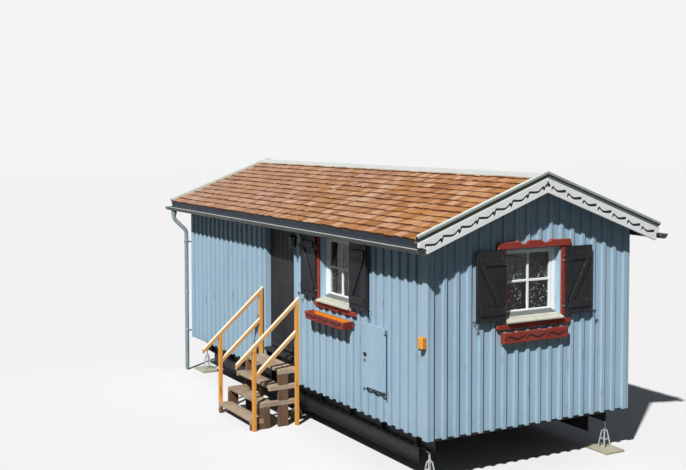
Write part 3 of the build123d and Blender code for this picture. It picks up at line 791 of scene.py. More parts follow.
def prism(
    outline: Outline, start: float, end: float, axis: str, chamfer: float = 0.003, along: tuple = Z_AXIS
) -> Shape:
    """Makes a solid of one outline from start to end along an axis, with broken edges at its two faces.

    Args:
        outline: Points in the other two axes, in their usual order.
        start: Where it starts along the axis.
        end: Where it ends.
        axis: X, Y or Z.
        chamfer: Width of the broken edges.
        along: Grain direction.

    Returns:
        The shape.
    """
    flat = np.array(outline, float)
    twice = (flat[:, 0] * np.roll(flat[:, 1], -1) - np.roll(flat[:, 0], -1) * flat[:, 1]).sum()
    if twice < 0:
        flat = flat[::-1]
    start, end = min(start, end), max(start, end)
    cut = min(chamfer, (end - start) * 0.3)
    small = inset_outline(flat, cut)
    count = len(flat)
    rings = [(small, start), (flat, start + cut), (flat, end - cut), (small, end)]
    place = "XYZ".index(axis)
    points = np.concatenate([np.insert(ring, place, level, axis=1) for ring, level in rings])
    faces = [tuple(range(count))[::-1], tuple(range(3 * count, 4 * count))] + quads(3, count)
    worn = [False, False] + [level != 1 for level in range(3) for _ in range(count)]
    if axis == "Y":
        faces = [face[::-1] for face in faces]
    return Shape(points, faces, worn, along)


def quads(rows: int, sides: int, closed: bool = False) -> list[tuple[int, ...]]:
    """Joins rings of points with faces.

    Args:
        rows: Rows of faces.
        sides: Points in each ring.
        closed: True joins the last row to the first ring.

    Returns:
        The faces, row by row.
    """
    faces = []
    for i, k in product(range(rows), range(sides)):
        n, a = (k + 1) % sides, i * sides
        b = 0 if closed and i == rows - 1 else a + sides
        faces.append((a + k, a + n, b + n, b + k))
    return faces


def round_shape(points: Sequence, rows: int, sides: int, closed: bool, along: tuple) -> Shape:
    """Makes a shape of rings of points, with ends unless it is closed.

    Args:
        points: The points, ring by ring.
        rows: How many rings there are.
        sides: Points in each ring.
        closed: True joins the last ring to the first.
        along: Grain direction.

    Returns:
        The shape.
    """
    faces = quads(rows if closed else rows - 1, sides, closed)
    if not closed:
        faces += [tuple(range(sides))[::-1], tuple(range((rows - 1) * sides, rows * sides))]
    return Shape(np.array([tuple(p) for p in points]), faces, [False] * len(faces), along)


def tube(
    path: Sequence, radius: Union[float, Sequence[float]], sides: int = 12, along: tuple = Z_AXIS
) -> Shape:
    """Makes a round bar along a path, closed at both ends.

    Args:
        path: Points of the centre line.
        radius: One radius, or one for each point.
        sides: Faces round the bar.
        along: Grain direction.

    Returns:
        The shape.
    """
    line = [Vector(p) for p in path]
    radii = [radius] * len(line) if isinstance(radius, (int, float)) else list(radius)
    way = (line[1] - line[0]).normalized()
    side = way.orthogonal().normalized()
    points = []
    for i, centre in enumerate(line):
        before = (line[i] - line[max(0, i - 1)]).normalized()
        after = (line[min(len(line) - 1, i + 1)] - line[i]).normalized()
        tangent = (before + after).normalized() if (before + after).length > 1e-6 else way
        side = (side - tangent * side.dot(tangent)).normalized()
        other = tangent.cross(side)
        for k in range(sides):
            angle = 2 * math.pi * k / sides
            points.append(centre + (side * math.cos(angle) + other * math.sin(angle)) * radii[i])
    return round_shape(points, len(line), sides, False, along)


def turned(profile: Outline, centre: Sequence[float], sides: int = 24, closed: bool = False) -> Shape:
    """Makes a turned body about an upright axis.

    Args:
        profile: Radius and height, from the bottom up on the outside.
        centre: Where the axis is; heights are above it.
        sides: Faces round it.
        closed: True joins the profile's end to its start, for a ring.

    Returns:
        The shape.
    """
    x, y, z = centre
    turns = [2 * math.pi * k / sides for k in range(sides)]
    points = [(x + r * math.cos(t), y + r * math.sin(t), z + h) for r, h in profile for t in turns]
    return round_shape(points, len(profile), sides, closed, Z_AXIS)


def set_attribute(
    mesh: bpy.types.Mesh, name: str, values: Union[Sequence, np.ndarray], faces: bool = False
) -> None:
    """Stores values on a mesh under a name, for its points or its faces: numbers, or rows of three."""
    array = np.asarray(values, np.float32)
    kind, key = ("FLOAT_VECTOR", "vector") if array.ndim == 2 else ("FLOAT", "value")
    mesh.attributes.new(name, kind, "FACE" if faces else "POINT").data.foreach_set(key, array.ravel())


def place_object(name: str, mesh: bpy.types.Mesh) -> bpy.types.Object:
    """Makes an object at the origin from a mesh that is in place.

    Args:
        name: The object's name.
        mesh: Its mesh.

    Returns:
        The object.
    """
    made = bpy.data.objects.new(name, mesh)
    mesh.name = name
    bpy.context.scene.collection.objects.link(made)
    return made


def smoothed(mesh: bpy.types.Mesh, angle: float) -> None:
    """Makes faces look smooth that meet below an angle in degrees."""
    mesh.shade_smooth()
    mesh.set_sharp_from_angle(angle=math.radians(angle))


class Piece:
    """Gathers the members of one object and gives each its own tone and grain."""

    def __init__(self, name: str) -> None:
        """Starts an empty piece; its random tones depend only on its name.

        Args:
            name: The name of its object.
        """
        self.name = name
        self.random = random.Random(name)
        self.points: list[np.ndarray] = []
        self.faces: list[tuple[int, ...]] = []
        self.worn: list[bool] = []
        self.tones: list[np.ndarray] = []
        self.grain: list[np.ndarray] = []
        self.count = 0

    def add(self, *shapes: Shape, at: Optional[Matrix] = None, worn: bool = True) -> None:
        """Adds members, each with a random tone.

        Args:
            *shapes: The members.
            at: From their frame to the hut's, or None where they are in place.
            worn: False leaves their edges unworn.
        """
        for shape in shapes:
            if at is not None:
                shape = shape.moved(at)
            along = Vector(shape.along).normalized()
            across = along.cross(Vector(Z_AXIS))
            across = Vector(X_AXIS) if across.length < 0.1 else across.normalized()
            basis = np.array([along, across, along.cross(across)])
            shift = np.array([self.random.uniform(0, 9) for _ in range(3)])
            self.points.append(shape.points)
            self.grain.append(shape.points @ basis.T + shift)
            self.tones.append(np.full(len(shape.points), self.random.uniform(-1, 1)))
            self.faces += [tuple(i + self.count for i in face) for face in shape.faces]
            self.worn += shape.worn if worn else [False] * len(shape.worn)
            self.count += len(shape.points)

    def build(self, finish: bpy.types.Material, body: str = "house", smooth: float = 0.0) -> bpy.types.Object:
        """Makes the object and sets it on its body.

        Args:
            finish: Its material.
            body: The CAD body that it rides on.
            smooth: Angle in degrees below which faces look smooth, or 0 for flat faces.

        Returns:
            The object.
        """
        mesh = bpy.data.meshes.new(self.name)
        mesh.from_pydata(np.concatenate(self.points).tolist(), [], self.faces)
        set_attribute(mesh, "tone", np.concatenate(self.tones))
        set_attribute(mesh, "grain", np.concatenate(self.grain))
        set_attribute(mesh, "edge", self.worn, faces=True)
        mesh.materials.append(finish)
        if smooth:
            smoothed(mesh, smooth)
        LOG.info("%s: %d faces on %s", self.name, len(mesh.polygons), body)
        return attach(place_object(self.name, mesh), body)


# Trees that make what repeats

GEOMETRY = "NodeSocketGeometry"
OBJECT = "NodeSocketObject"
MATERIAL = "NodeSocketMaterial"
WHOLE = "NodeSocketInt"
GRAIN_SHIFT = (7.3, 3.1, 5.7)


class Growth(Graph):
    """A graph that makes geometry."""

    kind = "GeometryNodeTree"

    def named(self, name: str, kind: str = "FLOAT") -> Value:
        """Returns what the geometry stores under a name."""
        node = self.node("GeometryNodeInputNamedAttribute", {"Name": name}, data_type=kind)
        return node.outputs["Attribute"]

    def stored(self, geometry: Value, name: str, value: Value, kind: str = "FLOAT") -> Value:
        """Returns geometry with a value stored at its points."""
        inputs = {"Geometry": geometry, "Name": name, "Value": value}
        return self.node("GeometryNodeStoreNamedAttribute", inputs, data_type=kind, domain="POINT").outputs[0]

    def random(self, low: Value, high: Value, key: Value, seed: Value) -> Value:
        """Returns a random number for each key."""
        inputs = {2: low, 3: high, 7: key, 8: seed}
        return self.node("FunctionNodeRandomValue", inputs, data_type="FLOAT").outputs[1]

    def index(self) -> Value:
        """Returns each element's number."""
        return self.node("GeometryNodeInputIndex").outputs[0]

    def place(self) -> Value:
        """Returns each point's place."""
        return self.node("GeometryNodeInputPosition").outputs[0]

    def shape(self, item: Value) -> Value:
        """Returns an object's geometry."""
        return self.node("GeometryNodeObjectInfo", {"Object": item}).outputs["Geometry"]

    def laid(self, points: Value, item: Value, **inputs: Value) -> Value:
        """Returns an item laid on each point, as plain geometry."""
        given = {"Points": points, "Instance": item, **inputs}
        instances = self.node("GeometryNodeInstanceOnPoints", given).outputs[0]
        return self.node("GeometryNodeRealizeInstances", {0: instances}).outputs[0]

    def grained(self, geometry: Value, place: Value) -> Value:
        """Returns geometry with its grain stored: a place along it, shifted by each member's tone."""
        grain = self.vector("ADD", place, self.scaled(GRAIN_SHIFT, self.named("tone")))
        return self.stored(geometry, "grain", grain, "FLOAT_VECTOR")

    def dressed(self, geometry: Value, finish: Value) -> Value:
        """Returns geometry in a material."""
        return self.node("GeometryNodeSetMaterial", {"Geometry": geometry, "Material": finish}).outputs[0]


def boards_tree() -> bpy.types.NodeTree:
    """Builds the tree that lays a board on each point, as long, wide and thick as the point says."""
    graph, given = Growth.group(
        "board_rows",
        [
            ("Places", GEOMETRY, None),
            ("Board", OBJECT, None),
            ("Chamfer", FLOAT, 0.003),
            ("Along", VECTOR, Z_AXIS),
            ("Across", VECTOR, X_AXIS),
            ("Seed", WHOLE, 1),
            ("Finish", MATERIAL, None),
        ],
        [("Boards", GEOMETRY)],
    )
    tone = graph.random(-1.0, 1.0, graph.index(), given["Seed"])
    size, corner = graph.named("size", "FLOAT_VECTOR"), graph.named("corner", "FLOAT_VECTOR")
    solid = graph.laid(graph.stored(given["Places"], "tone", tone), graph.shape(given["Board"]), Scale=size)
    cut = graph.scaled(graph.named("inset", "FLOAT_VECTOR"), given["Chamfer"])
    wide = graph.vector("DOT_PRODUCT", graph.vector("MULTIPLY", corner, size), (0.5, 0, 0))
    upper = graph.remap(graph.part(corner, "Z"), -1, 1)
    rise = graph.times(graph.times(wide, upper), graph.named("lean"))
    shift = graph.vector("ADD", cut, graph.joined(0.0, 0.0, rise))
    solid = graph.node("GeometryNodeSetPosition", {"Geometry": solid, "Offset": shift}).outputs[0]
    along, across = given["Along"], given["Across"]
    ways = (along, across, graph.vector("CROSS_PRODUCT", along, across))
    place = graph.joined(*[graph.vector("DOT_PRODUCT", graph.place(), way) for way in ways])
    return graph.give(Boards=graph.dressed(graph.grained(solid, place), given["Finish"]))


def shingle_tree() -> bpy.types.NodeTree:
    """Builds the tree that covers one roof slope with courses of shingles of random width."""
    graph, given = Growth.group(
        "shingle_courses",
        [
            ("Slope", GEOMETRY, None),
            ("Shingle", OBJECT, None),
            ("Length", FLOAT, 7.4),
            ("Courses", WHOLE, 13),
            ("Exposure", FLOAT, 0.144),
            ("Mean Width", FLOAT, 0.13),
            ("Width Spread", FLOAT, 0.045),
            ("Gap", FLOAT, 0.003),
            ("Butt", FLOAT, 0.016),
            ("Seed", WHOLE, 5),
            ("Finish", MATERIAL, None),
        ],
        [("Roof", GEOMETRY)],
    )
    length, exposure, mean = given["Length"], given["Exposure"], given["Mean Width"]
    least_width, overlap, slip_up, slip_down, twist = 0.02, 1.45, -0.011, 0.008, 0.012
    index = graph.index()

    def chance(low: Value, high: Value, key: Value, step: float) -> Value:
        """Returns a random number for each key, from a seed of its own."""
        return graph.random(low, high, key, graph.plus(given["Seed"], step))

    per_course = graph.plus(graph.math("CEIL", graph.math("DIVIDE", length, mean)), 2.0)
    count = graph.times(per_course, given["Courses"])
    points = graph.node("GeometryNodePoints", {"Count": count}).outputs[0]
    course = graph.math("FLOOR", graph.math("DIVIDE", graph.plus(index, 0.5), per_course))
    column = graph.less(index, graph.times(course, per_course))
    start = chance(-1.0, 0.0, course, 1.0)
    key = graph.math("MULTIPLY_ADD", course, 1000.0, column)

    def joint(step: float) -> Value:
        """Returns where the joint before or after this shingle is along the course."""
        even = graph.times(graph.plus(graph.plus(column, start), step), mean)
        spread = given["Width Spread"]
        own = graph.random(graph.times(spread, -1.0), spread, graph.plus(key, step), given["Seed"])
        return graph.math("MINIMUM", graph.math("MAXIMUM", graph.plus(even, own), 0.0), length)

    left, right = joint(0.0), joint(1.0)
    width = graph.less(graph.less(right, left), given["Gap"])
    down = graph.math("MULTIPLY_ADD", graph.plus(course, 1.0), exposure, chance(slip_up, slip_down, key, 2.0))
    along = graph.less(graph.times(graph.plus(left, right), 0.5), graph.times(length, 0.5))
    spot = graph.joined(along, graph.times(down, -1.0))
    points = graph.node("GeometryNodeSetPosition", {"Geometry": points, "Position": spot}).outputs[0]
    for name, value in (("tone", chance(-1.0, 1.0, key, 3.0)), ("width", width), ("down", down)):
        points = graph.stored(points, name, value)
    slivers = graph.math("LESS_THAN", graph.named("width"), least_width)
    points = graph.node("GeometryNodeDeleteGeometry", {0: points, 1: slivers}, domain="POINT").outputs[0]
    thick = graph.times(given["Butt"], chance(0.78, 1.08, index, 4.0))
    reach = graph.math("MINIMUM", graph.times(exposure, overlap), graph.named("down"))
    scale = graph.joined(graph.named("width"), reach, thick)
    turn = graph.joined(0.0, 0.0, chance(-twist, twist, index, 6.0))
    solid = graph.laid(points, graph.shape(given["Shingle"]), Rotation=turn, Scale=scale)
    place = graph.joined(*[graph.part(graph.place(), axis) for axis in "YXZ"])
    return graph.give(Roof=graph.dressed(graph.grained(solid, place), given["Finish"]))


def heads_tree() -> bpy.types.NodeTree:
    """Builds the tree that sets a round fixing head on each point."""
    graph, given = Growth.group(
        "fixing_heads",
        [
            ("Places", GEOMETRY, None),
            ("Radius", FLOAT, 0.004),
            ("Proud", FLOAT, 0.002),
            ("Finish", MATERIAL, None),
        ],
        [("Heads", GEOMETRY)],
    )
    sizes = {"Vertices": 8, "Radius Bottom": given["Radius"], "Depth": given["Proud"]}
    sizes["Radius Top"] = graph.times(given["Radius"], 0.6)
    head = graph.node("GeometryNodeMeshCone", sizes).outputs[0]
    solid = graph.laid(given["Places"], head, Rotation=(math.pi / 2, 0, 0))
    return graph.give(Heads=graph.dressed(solid, given["Finish"]))


def pipe_tree() -> bpy.types.NodeTree:
    """Builds the tree that runs a round pipe along a path and rounds its bends."""
    graph, given = Growth.group(
        "pipe_run",
        [("Path", GEOMETRY, None), ("Radius", FLOAT, 0.03), ("Bend", FLOAT, 0.1), ("Finish", MATERIAL, None)],
        [("Pipe", GEOMETRY)],
    )
    line = graph.node("GeometryNodeMeshToCurve", {0: given["Path"]}).outputs[0]
    bends = {"Curve": line, "Radius": given["Bend"], "Limit Radius": True, "Count": 8}
    bent = graph.node("GeometryNodeFilletCurve", bends, mode="POLY").outputs[0]
    circle = {"Resolution": 24, "Radius": given["Radius"]}
    section = graph.node("GeometryNodeCurvePrimitiveCircle", circle).outputs[0]
    run = {"Curve": bent, "Profile Curve": section, "Fill Caps": True}
    pipe = graph.node("GeometryNodeCurveToMesh", run).outputs[0]
    return graph.give(Pipe=graph.dressed(pipe, given["Finish"]))


def grown(source: bpy.types.Mesh, tree: bpy.types.NodeTree, inputs: dict) -> bpy.types.Mesh:
    """Runs a tree over a mesh and returns the result as a plain mesh.

    Args:
        source: Points, with the attributes that the tree reads.
        tree: The geometry tree.
        inputs: Its inputs by name.

    Returns:
        The new mesh.
    """
    carrier = place_object("carrier", source)
    modifier = carrier.modifiers.new("tree", "NODES")
    modifier.node_group = tree
    for item in tree.interface.items_tree:
        if item.item_type == "SOCKET" and item.in_out == "INPUT" and item.name in inputs:
            modifier[item.identifier] = inputs[item.name]
    view = bpy.context.evaluated_depsgraph_get()
    evaluated = carrier.evaluated_get(view)
    made = bpy.data.meshes.new_from_object(evaluated, preserve_all_data_layers=True, depsgraph=view)
    bpy.data.objects.remove(carrier)
    return made


@dataclass
class Board:
    """One board in a wall's frame: two opposite corners, and how its top slopes."""

    low: tuple[float, float, float]
    high: tuple[float, float, float]
    lean: float = 0.0


class Joinery:
    """Lays rows of boards, nail heads and pipes with the shared trees."""

    def __init__(self) -> None:
        """Builds the trees and the board and shingle that they repeat."""
        self.boards_tree = boards_tree()
        self.shingle_tree = shingle_tree()
        self.heads_tree = heads_tree()
        self.pipe_tree = pipe_tree()
        self.board = self.template_board()
        self.shingle = self.template_shingle()

    def template_board(self) -> bpy.types.Object:
        """Returns the unit board, whose chamfers open once it has its size."""
        mesh = bpy.data.meshes.new("board_template")
        mesh.from_pydata((BOX_CORNER / 2).tolist(), [], BOX_FACES)
        set_attribute(mesh, "corner", BOX_CORNER)
        set_attribute(mesh, "inset", BOX_INSET)
        set_attribute(mesh, "edge", BOX_WORN, faces=True)
        return place_object("board_template", mesh)

    def template_shingle(self) -> bpy.types.Object:
        """Returns the unit shingle: its lower end at Y 0, its thin end at Y 1, with a rounded butt."""
        face = [(1.0, 0.22), (0.72, 0.45), (0.6, 0.55), (0.3, 0.8), (0.06, 0.99)]
        shape = prism([(1.0, 0.0), *face, (0.0, 0.88), (0.0, 0.0)], -0.5, 0.5, "X", 0.02)
        mesh = bpy.data.meshes.new("shingle_template")
        mesh.from_pydata(shape.points.tolist(), [], shape.faces)
        butt = [all(shape.points[i][1] < 0.03 for i in face) for face in shape.faces]
        set_attribute(mesh, "edge", butt, faces=True)
        set_attribute(mesh, "run", shape.points[:, 1])
        return place_object("shingle_template", mesh)

    def boards(
        self,
        name: str,
        boards: Sequence[Board],
        finish: bpy.types.Material,
        body: str = "house",
        chamfer: float = 0.003,
        along: tuple = Z_AXIS,
        matrix: Optional[Matrix] = None,
    ) -> bpy.types.Object:
        """Lays boards as one object.

        Args:
            name: The object's name.
            boards: The boards in a wall's frame.
            finish: Their material.
            body: The CAD body that it rides on.
            chamfer: Width of the broken edges.
            along: Grain direction in the wall's frame, X or Z.
            matrix: From that frame to the hut's, or None where the boards are in place.

        Returns:
            The object.
        """
        low, high = np.array([b.low for b in boards]), np.array([b.high for b in boards])
        mesh = bpy.data.meshes.new(name)
        mesh.from_pydata(((low + high) / 2).tolist(), [], [])
        set_attribute(mesh, "size", high - low)
        set_attribute(mesh, "lean", [b.lean for b in boards])
        inputs = {
            "Board": self.board,
            "Chamfer": chamfer,
            "Along": along,
            "Across": Y_AXIS if along == X_AXIS else X_AXIS,
            "Seed": len(boards),
            "Finish": finish,
        }
        return self.rides(name, grown(mesh, self.boards_tree, inputs), matrix, body)

    def heads(
        self,
        name: str,
        places: Sequence[tuple],
        finish: bpy.types.Material,
        matrix: Matrix,
        body: str = "house",
        radius: float = 0.005,
    ) -> bpy.types.Object:
        """Sets nail or screw heads, which face out of a wall's frame, at places in it.

        Args:
            name: The object's name.
            places: Where the heads are in the wall's frame.
            finish: Their material.
            matrix: From that frame to the hut's.
            body: The CAD body that it rides on.
            radius: Radius of a head.

        Returns:
            The object.
        """
        mesh = bpy.data.meshes.new(name)
        mesh.from_pydata(places, [], [])
        inputs = {"Radius": radius, "Proud": 0.003, "Finish": finish}
        return self.rides(name, grown(mesh, self.heads_tree, inputs), matrix, body)

    def rides(self, name: str, mesh: bpy.types.Mesh, matrix: Optional[Matrix], body: str) -> bpy.types.Object:
        """Makes a grown mesh an object on its body, from a wall's frame if it has a matrix.

        Args:
            name: The object's name.
            mesh: The grown mesh.
            matrix: From the wall's frame to the hut's, or None where the mesh is in place.
            body: The CAD body that it rides on.

        Returns:
            The object.
        """
        if matrix is not None:
            mesh.transform(matrix)
        LOG.info("%s: %d faces on %s", name, len(mesh.polygons), body)
        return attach(place_object(name, mesh), body)

    def clear(self) -> None:
        """Removes the templates."""
        for template in (self.board, self.shingle):
            bpy.data.objects.remove(template)


# The hut's own planes

WINDOW_HALF = 0.405
SETBACK = 0.085
FIRST_BATTEN, BATTEN_STEP, BATTEN_WIDTH = 0.2435, 0.1775, 0.052


@dataclass(frozen=True)
class Hut:
    """The main planes of the hut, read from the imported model."""

    near_x: float
    far_x: float
    front_y: float
    back_y: float
    foot_z: float
    ridge_y: float
    ridge_z: float
    deck_end: float
    eave_y: float
    slope: float
    deck_depth: float
    window_low: float
    window_high: float
    front_window: float
    gable_window: float

    @classmethod
    def measured(cls, deck_depth: float = 0.085) -> "Hut":
        """Reads the planes from the boxes of the nodes; the deck's depth isn't in them.

        Args:
            deck_depth: Depth of the roof's deck.

        Returns:
            The hut's planes.
        """
        near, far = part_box("near_gable_wall"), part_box("far_gable_wall")
        front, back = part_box("front_wall_right"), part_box("back_wall")
        deck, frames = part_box("roof_deck_front"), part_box("window_frames")
        ridge_y = (front[0].y + back[1].y) / 2
        slope = (deck[1].z - deck_depth - deck[0].z) / (ridge_y - deck[0].y)
        LOG.info("wall top %.3f, slope %.3f", front[1].z, slope)
        return cls(
            near_x=near[1].x,
            far_x=far[0].x,
            front_y=front[0].y,
            back_y=back[1].y,
            foot_z=front[0].z,
            ridge_y=ridge_y,
            ridge_z=deck[1].z,
            deck_end=deck[1].x,
            eave_y=deck[0].y,
            slope=slope,
            deck_depth=deck_depth,
            window_low=frames[0].z,
            window_high=frames[1].z,
            front_window=(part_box("front_shutter_left")[1].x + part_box("front_shutter_right")[0].x) / 2,
            gable_window=(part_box("gable_shutter_left")[1].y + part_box("gable_shutter_right")[0].y) / 2,
        )

    @property
    def middle_x(self) -> float:
        """The middle of the hut's length."""
        return (self.near_x + self.far_x) / 2

    @property
    def gutter_z(self) -> float:
        """The height of the gutters' upper edges."""
        return self.roof_z(self.eave_y, -self.deck_depth) - 0.004

    def roof_z(self, y: float, lift: float = 0.0) -> float:
        """Returns the height of the deck's upper face at a place across the hut."""
        return self.ridge_z + lift - abs(y - self.ridge_y) * self.slope

    def front(self, u: float = 0.0) -> Matrix:
        """Returns the frame of the door side, centred at u."""
        return Matrix.Translation((u, self.front_y, 0))

    def gable(self, u: float = 0.0) -> Matrix:
        """Returns the frame of the near gable, centred at u."""
        return Matrix.Translation((self.near_x, u, 0)) @ Matrix.Rotation(math.pi / 2, 4, "Z")

    def back(self, u: float = 0.0) -> Matrix:
        """Returns the frame of the back, centred at u."""
        return Matrix.Translation((-u, self.back_y, 0)) @ Matrix.Rotation(math.pi, 4, "Z")

    def far(self, u: float = 0.0) -> Matrix:
        """Returns the frame of the far gable, centred at u."""
        return Matrix.Translation((self.far_x, -u, 0)) @ Matrix.Rotation(-math.pi / 2, 4, "Z")

    def windows(self) -> tuple[Matrix, Matrix, Matrix]:
        """Returns the frames of the front, gable and back windows."""
        return self.front(self.front_window), self.gable(self.gable_window), self.back(-self.front_window)

    def battens(self) -> list[float]:
        """Returns the right edge of each batten on the door side, from left to right."""
        first, most, least_gap = self.near_x - FIRST_BATTEN, 38, 0.17
        edges = [first - BATTEN_STEP * i for i in range(most)][::-1]
        return [e for e in edges if e > self.far_x + least_gap]


@dataclass
class Shop:
    """What every sub-assembly needs: the hut, the joinery and the finishes by name."""

    hut: Hut
    joinery: Joinery
    finish: dict[str, bpy.types.Material]


BARE = {"splash": 0.0, "chalk": 0.02}
SHINGLE_TONES = (
    (0.0, (66, 40, 28)),
    (0.14, (128, 76, 46)),
    (0.28, (178, 108, 52)),
    (0.42, (146, 98, 76)),
    (0.56, (198, 138, 82)),
    (0.7, (184, 136, 114)),
    (0.85, (216, 172, 138)),
    (1.0, (238, 208, 180)),
)
PALETTE: tuple[Finish, ...] = (
    Paint("blue_paint", (164, 193, 211), 0.62, wear=0.2, splash=0.3, spread=0.08, knots=0.4,
          grime=(84, 98, 104), chalk=0.08),
    # near-black blue for the wall cores: painted shade in the grooves beside the battens
    Paint("painted_shade_blue", (30, 42, 52), 0.7, follows=Follows.HEIGHT, wear=0.0, chalk=0.02),
    Paint("blue_lining", (140, 168, 186), 0.65, follows=Follows.HEIGHT, wear=0.0),
    Paint("white_paint", (241, 243, 242), 0.5, wear=0.12, splash=0.0, runs=0.14, spread=0.03,
          grime=(150, 152, 146)),
    Paint("red_paint", (146, 48, 34), 0.55, wear=0.5, spread=0.2, beneath=(206, 140, 124), **BARE),
    Paint("carving_paint", (38, 14, 13), 0.6, wear=0.0, splash=0.0, spread=0.12, chalk=0.0),
    # near-black for the fret slots and the verge sheets' open ends: painted shade
    Paint("painted_slot_shade", (34, 38, 40), 0.7, wear=0.0, splash=0.0, spread=0.1, chalk=0.0),
    # grey for the laths under the verge sheets: painted shade that the sheets' lips would cast
    Paint("verge_shade_grey", (92, 102, 97), 0.7, wear=0.1, spread=0.2, **BARE),
    # black stain: its worn edges, light underneath, stand partly for real wear and partly for painted highlights
    # on sunlit chamfers
    Paint("black_stain", (23, 26, 30), 0.6, wear=0.42, spread=0.5, beneath=(102, 104, 106),
          grime=(50, 48, 43), runs=0.3, **BARE),
    Paint("door_stain", (32, 33, 36), 0.65, wear=0.25, splash=0.1, spread=0.25, beneath=(100, 92, 82),
          grime=(80, 78, 74), chalk=0.02),
    Paint("cream_paint", (204, 202, 186), 0.55, wear=0.2, splash=0.0, spread=0.08, runs=0.4,
          grime=(140, 136, 120)),
    Paint("grey_bar", (132, 136, 136), 0.5, wear=0.1, splash=0.0, spread=0.05),
    # the pine posts and rails get a painted highlight on their upper faces
    Timber("pine", (240, 174, 84), 0.5, dark=(212, 134, 48), silvering=0.03, spread=0.12, knots=0.8,
           painted_top_highlight=0.8, pale=(232, 206, 174)),
    Timber("rail_pine", (238, 186, 122), 0.5, dark=(214, 150, 84), silvering=0.06, spread=0.12, knots=0.8,
           painted_top_highlight=0.95, pale=(246, 226, 204)),
    Timber("box_pine", (248, 168, 40), 0.55, dark=(226, 132, 28), silvering=0.0),
    Timber("room_boards", (112, 84, 58), 0.55, dark=(84, 60, 40), silvering=0.02, follows=Follows.LENGTH),
    Timber("plank", (190, 164, 134), 0.75, dark=(96, 72, 54), silvering=0.34, spread=0.34,
           silver=(204, 192, 176)),
    Timber("brown_plank", (136, 100, 74), 0.72, dark=(76, 48, 32), silvering=0.12, spread=0.22),
    Timber("pale_plank", (200, 196, 172), 0.72, dark=(158, 150, 122), silvering=0.3, spread=0.12),
    Deck("deck", (50, 36, 28), 0.9),
    Shakes("shingle_wood", (164, 126, 94), 0.85, tones=SHINGLE_TONES),
    # dark gutter zinc: painted shade and painted dark reflection; its lips and seams get the light copy below, a
    # painted highlight
    Sheet("zinc", (44, 50, 46), 0.45, metal=0.3, bloom=(64, 70, 64)),
    Sheet("highlight_zinc", (196, 200, 190), 0.45, metal=0.25, bloom=(214, 218, 208)),
    Sheet("pipe_zinc", (134, 150, 156), 0.45, metal=0.3, bloom=(166, 178, 182)),
    Sheet("ridge_sheet", (196, 199, 194), 0.5, metal=0.15, bloom=(212, 214, 208)),
    # the verge sheet's gable-facing sides are darkened by painted shade
    Sheet("verge_sheet", (206, 212, 204), 0.5, metal=0.1, bloom=(216, 220, 212), painted_side_shade=0.5),
    Sheet("slate_sheet", (14, 23, 33), 0.6, metal=0.0, bloom=(28, 44, 62)),
    Sheet("black_steel", (20, 22, 24), 0.6, metal=0.15, bloom=(34, 36, 40)),
    # light steel for the flange edge strips: painted highlight where the flanges catch light, with some dust
    Sheet("dust_and_highlight_steel", (92, 94, 88), 0.7, metal=0.2, bloom=(120, 122, 112)),
    Sheet("galvanised", (186, 190, 190), 0.45, metal=0.4, bloom=(206, 210, 210)),
    Sheet("black_iron", (26, 26, 28), 0.5, metal=0.3, bloom=(48, 46, 44)),
    Sheet("rusty_iron", (66, 46, 36), 0.7, metal=0.3, bloom=(92, 62, 44)),
    Moulded("yellow_plastic", (238, 164, 22), 0.4),
    Moulded("orange_plastic", (222, 122, 22), 0.4),
    Moulded("black_plastic", (26, 26, 28), 0.45),
    Pane("glass", (168, 174, 170), 0.03),
    Pane("shaded_glass", (34, 38, 36), 0.03),
    Lace("lace", (244, 242, 234), 0.9),
)


# Sub-assemblies

def cut_round(strip: Rect, holes: Sequence[Rect], least: float = 0.004) -> list[Rect]:
    """Cuts a strip u0, u1, z0, z1 round the openings.

    Args:
        strip: The strip.
        holes: The openings.
        least: The smallest side of a part that is kept.

    Returns:
        What is left of it.
    """
    left = [strip]
    for a, b, low, high in holes:
        kept = []
        for u0, u1, z0, z1 in left:
            if u1 <= a or u0 >= b or z1 <= low or z0 >= high:
                kept.append((u0, u1, z0, z1))
                continue
            kept += [(u0, min(u1, a), z0, z1), (max(u0, b), u1, z0, z1)]
            kept += [(max(u0, a), min(u1, b), z0, low), (max(u0, a), min(u1, b), high, z1)]
        left = [r for r in kept if r[1] - r[0] > least and r[3] - r[2] > least]
    return left


@dataclass
class Wall:
    """One wall to clad, in its own frame.

    The edges are the right edges of its battens, from left to right. Its top is level where across is 0. Where
    across is 1 or -1, the top follows the roof, and U runs with or against Y.
    """

    name: str
    matrix: Matrix
    start: float
    end: float
    edges: Sequence[float]
    holes: Sequence[Rect]
    groove: float
    across: int = 0
    inset: float = 0.0


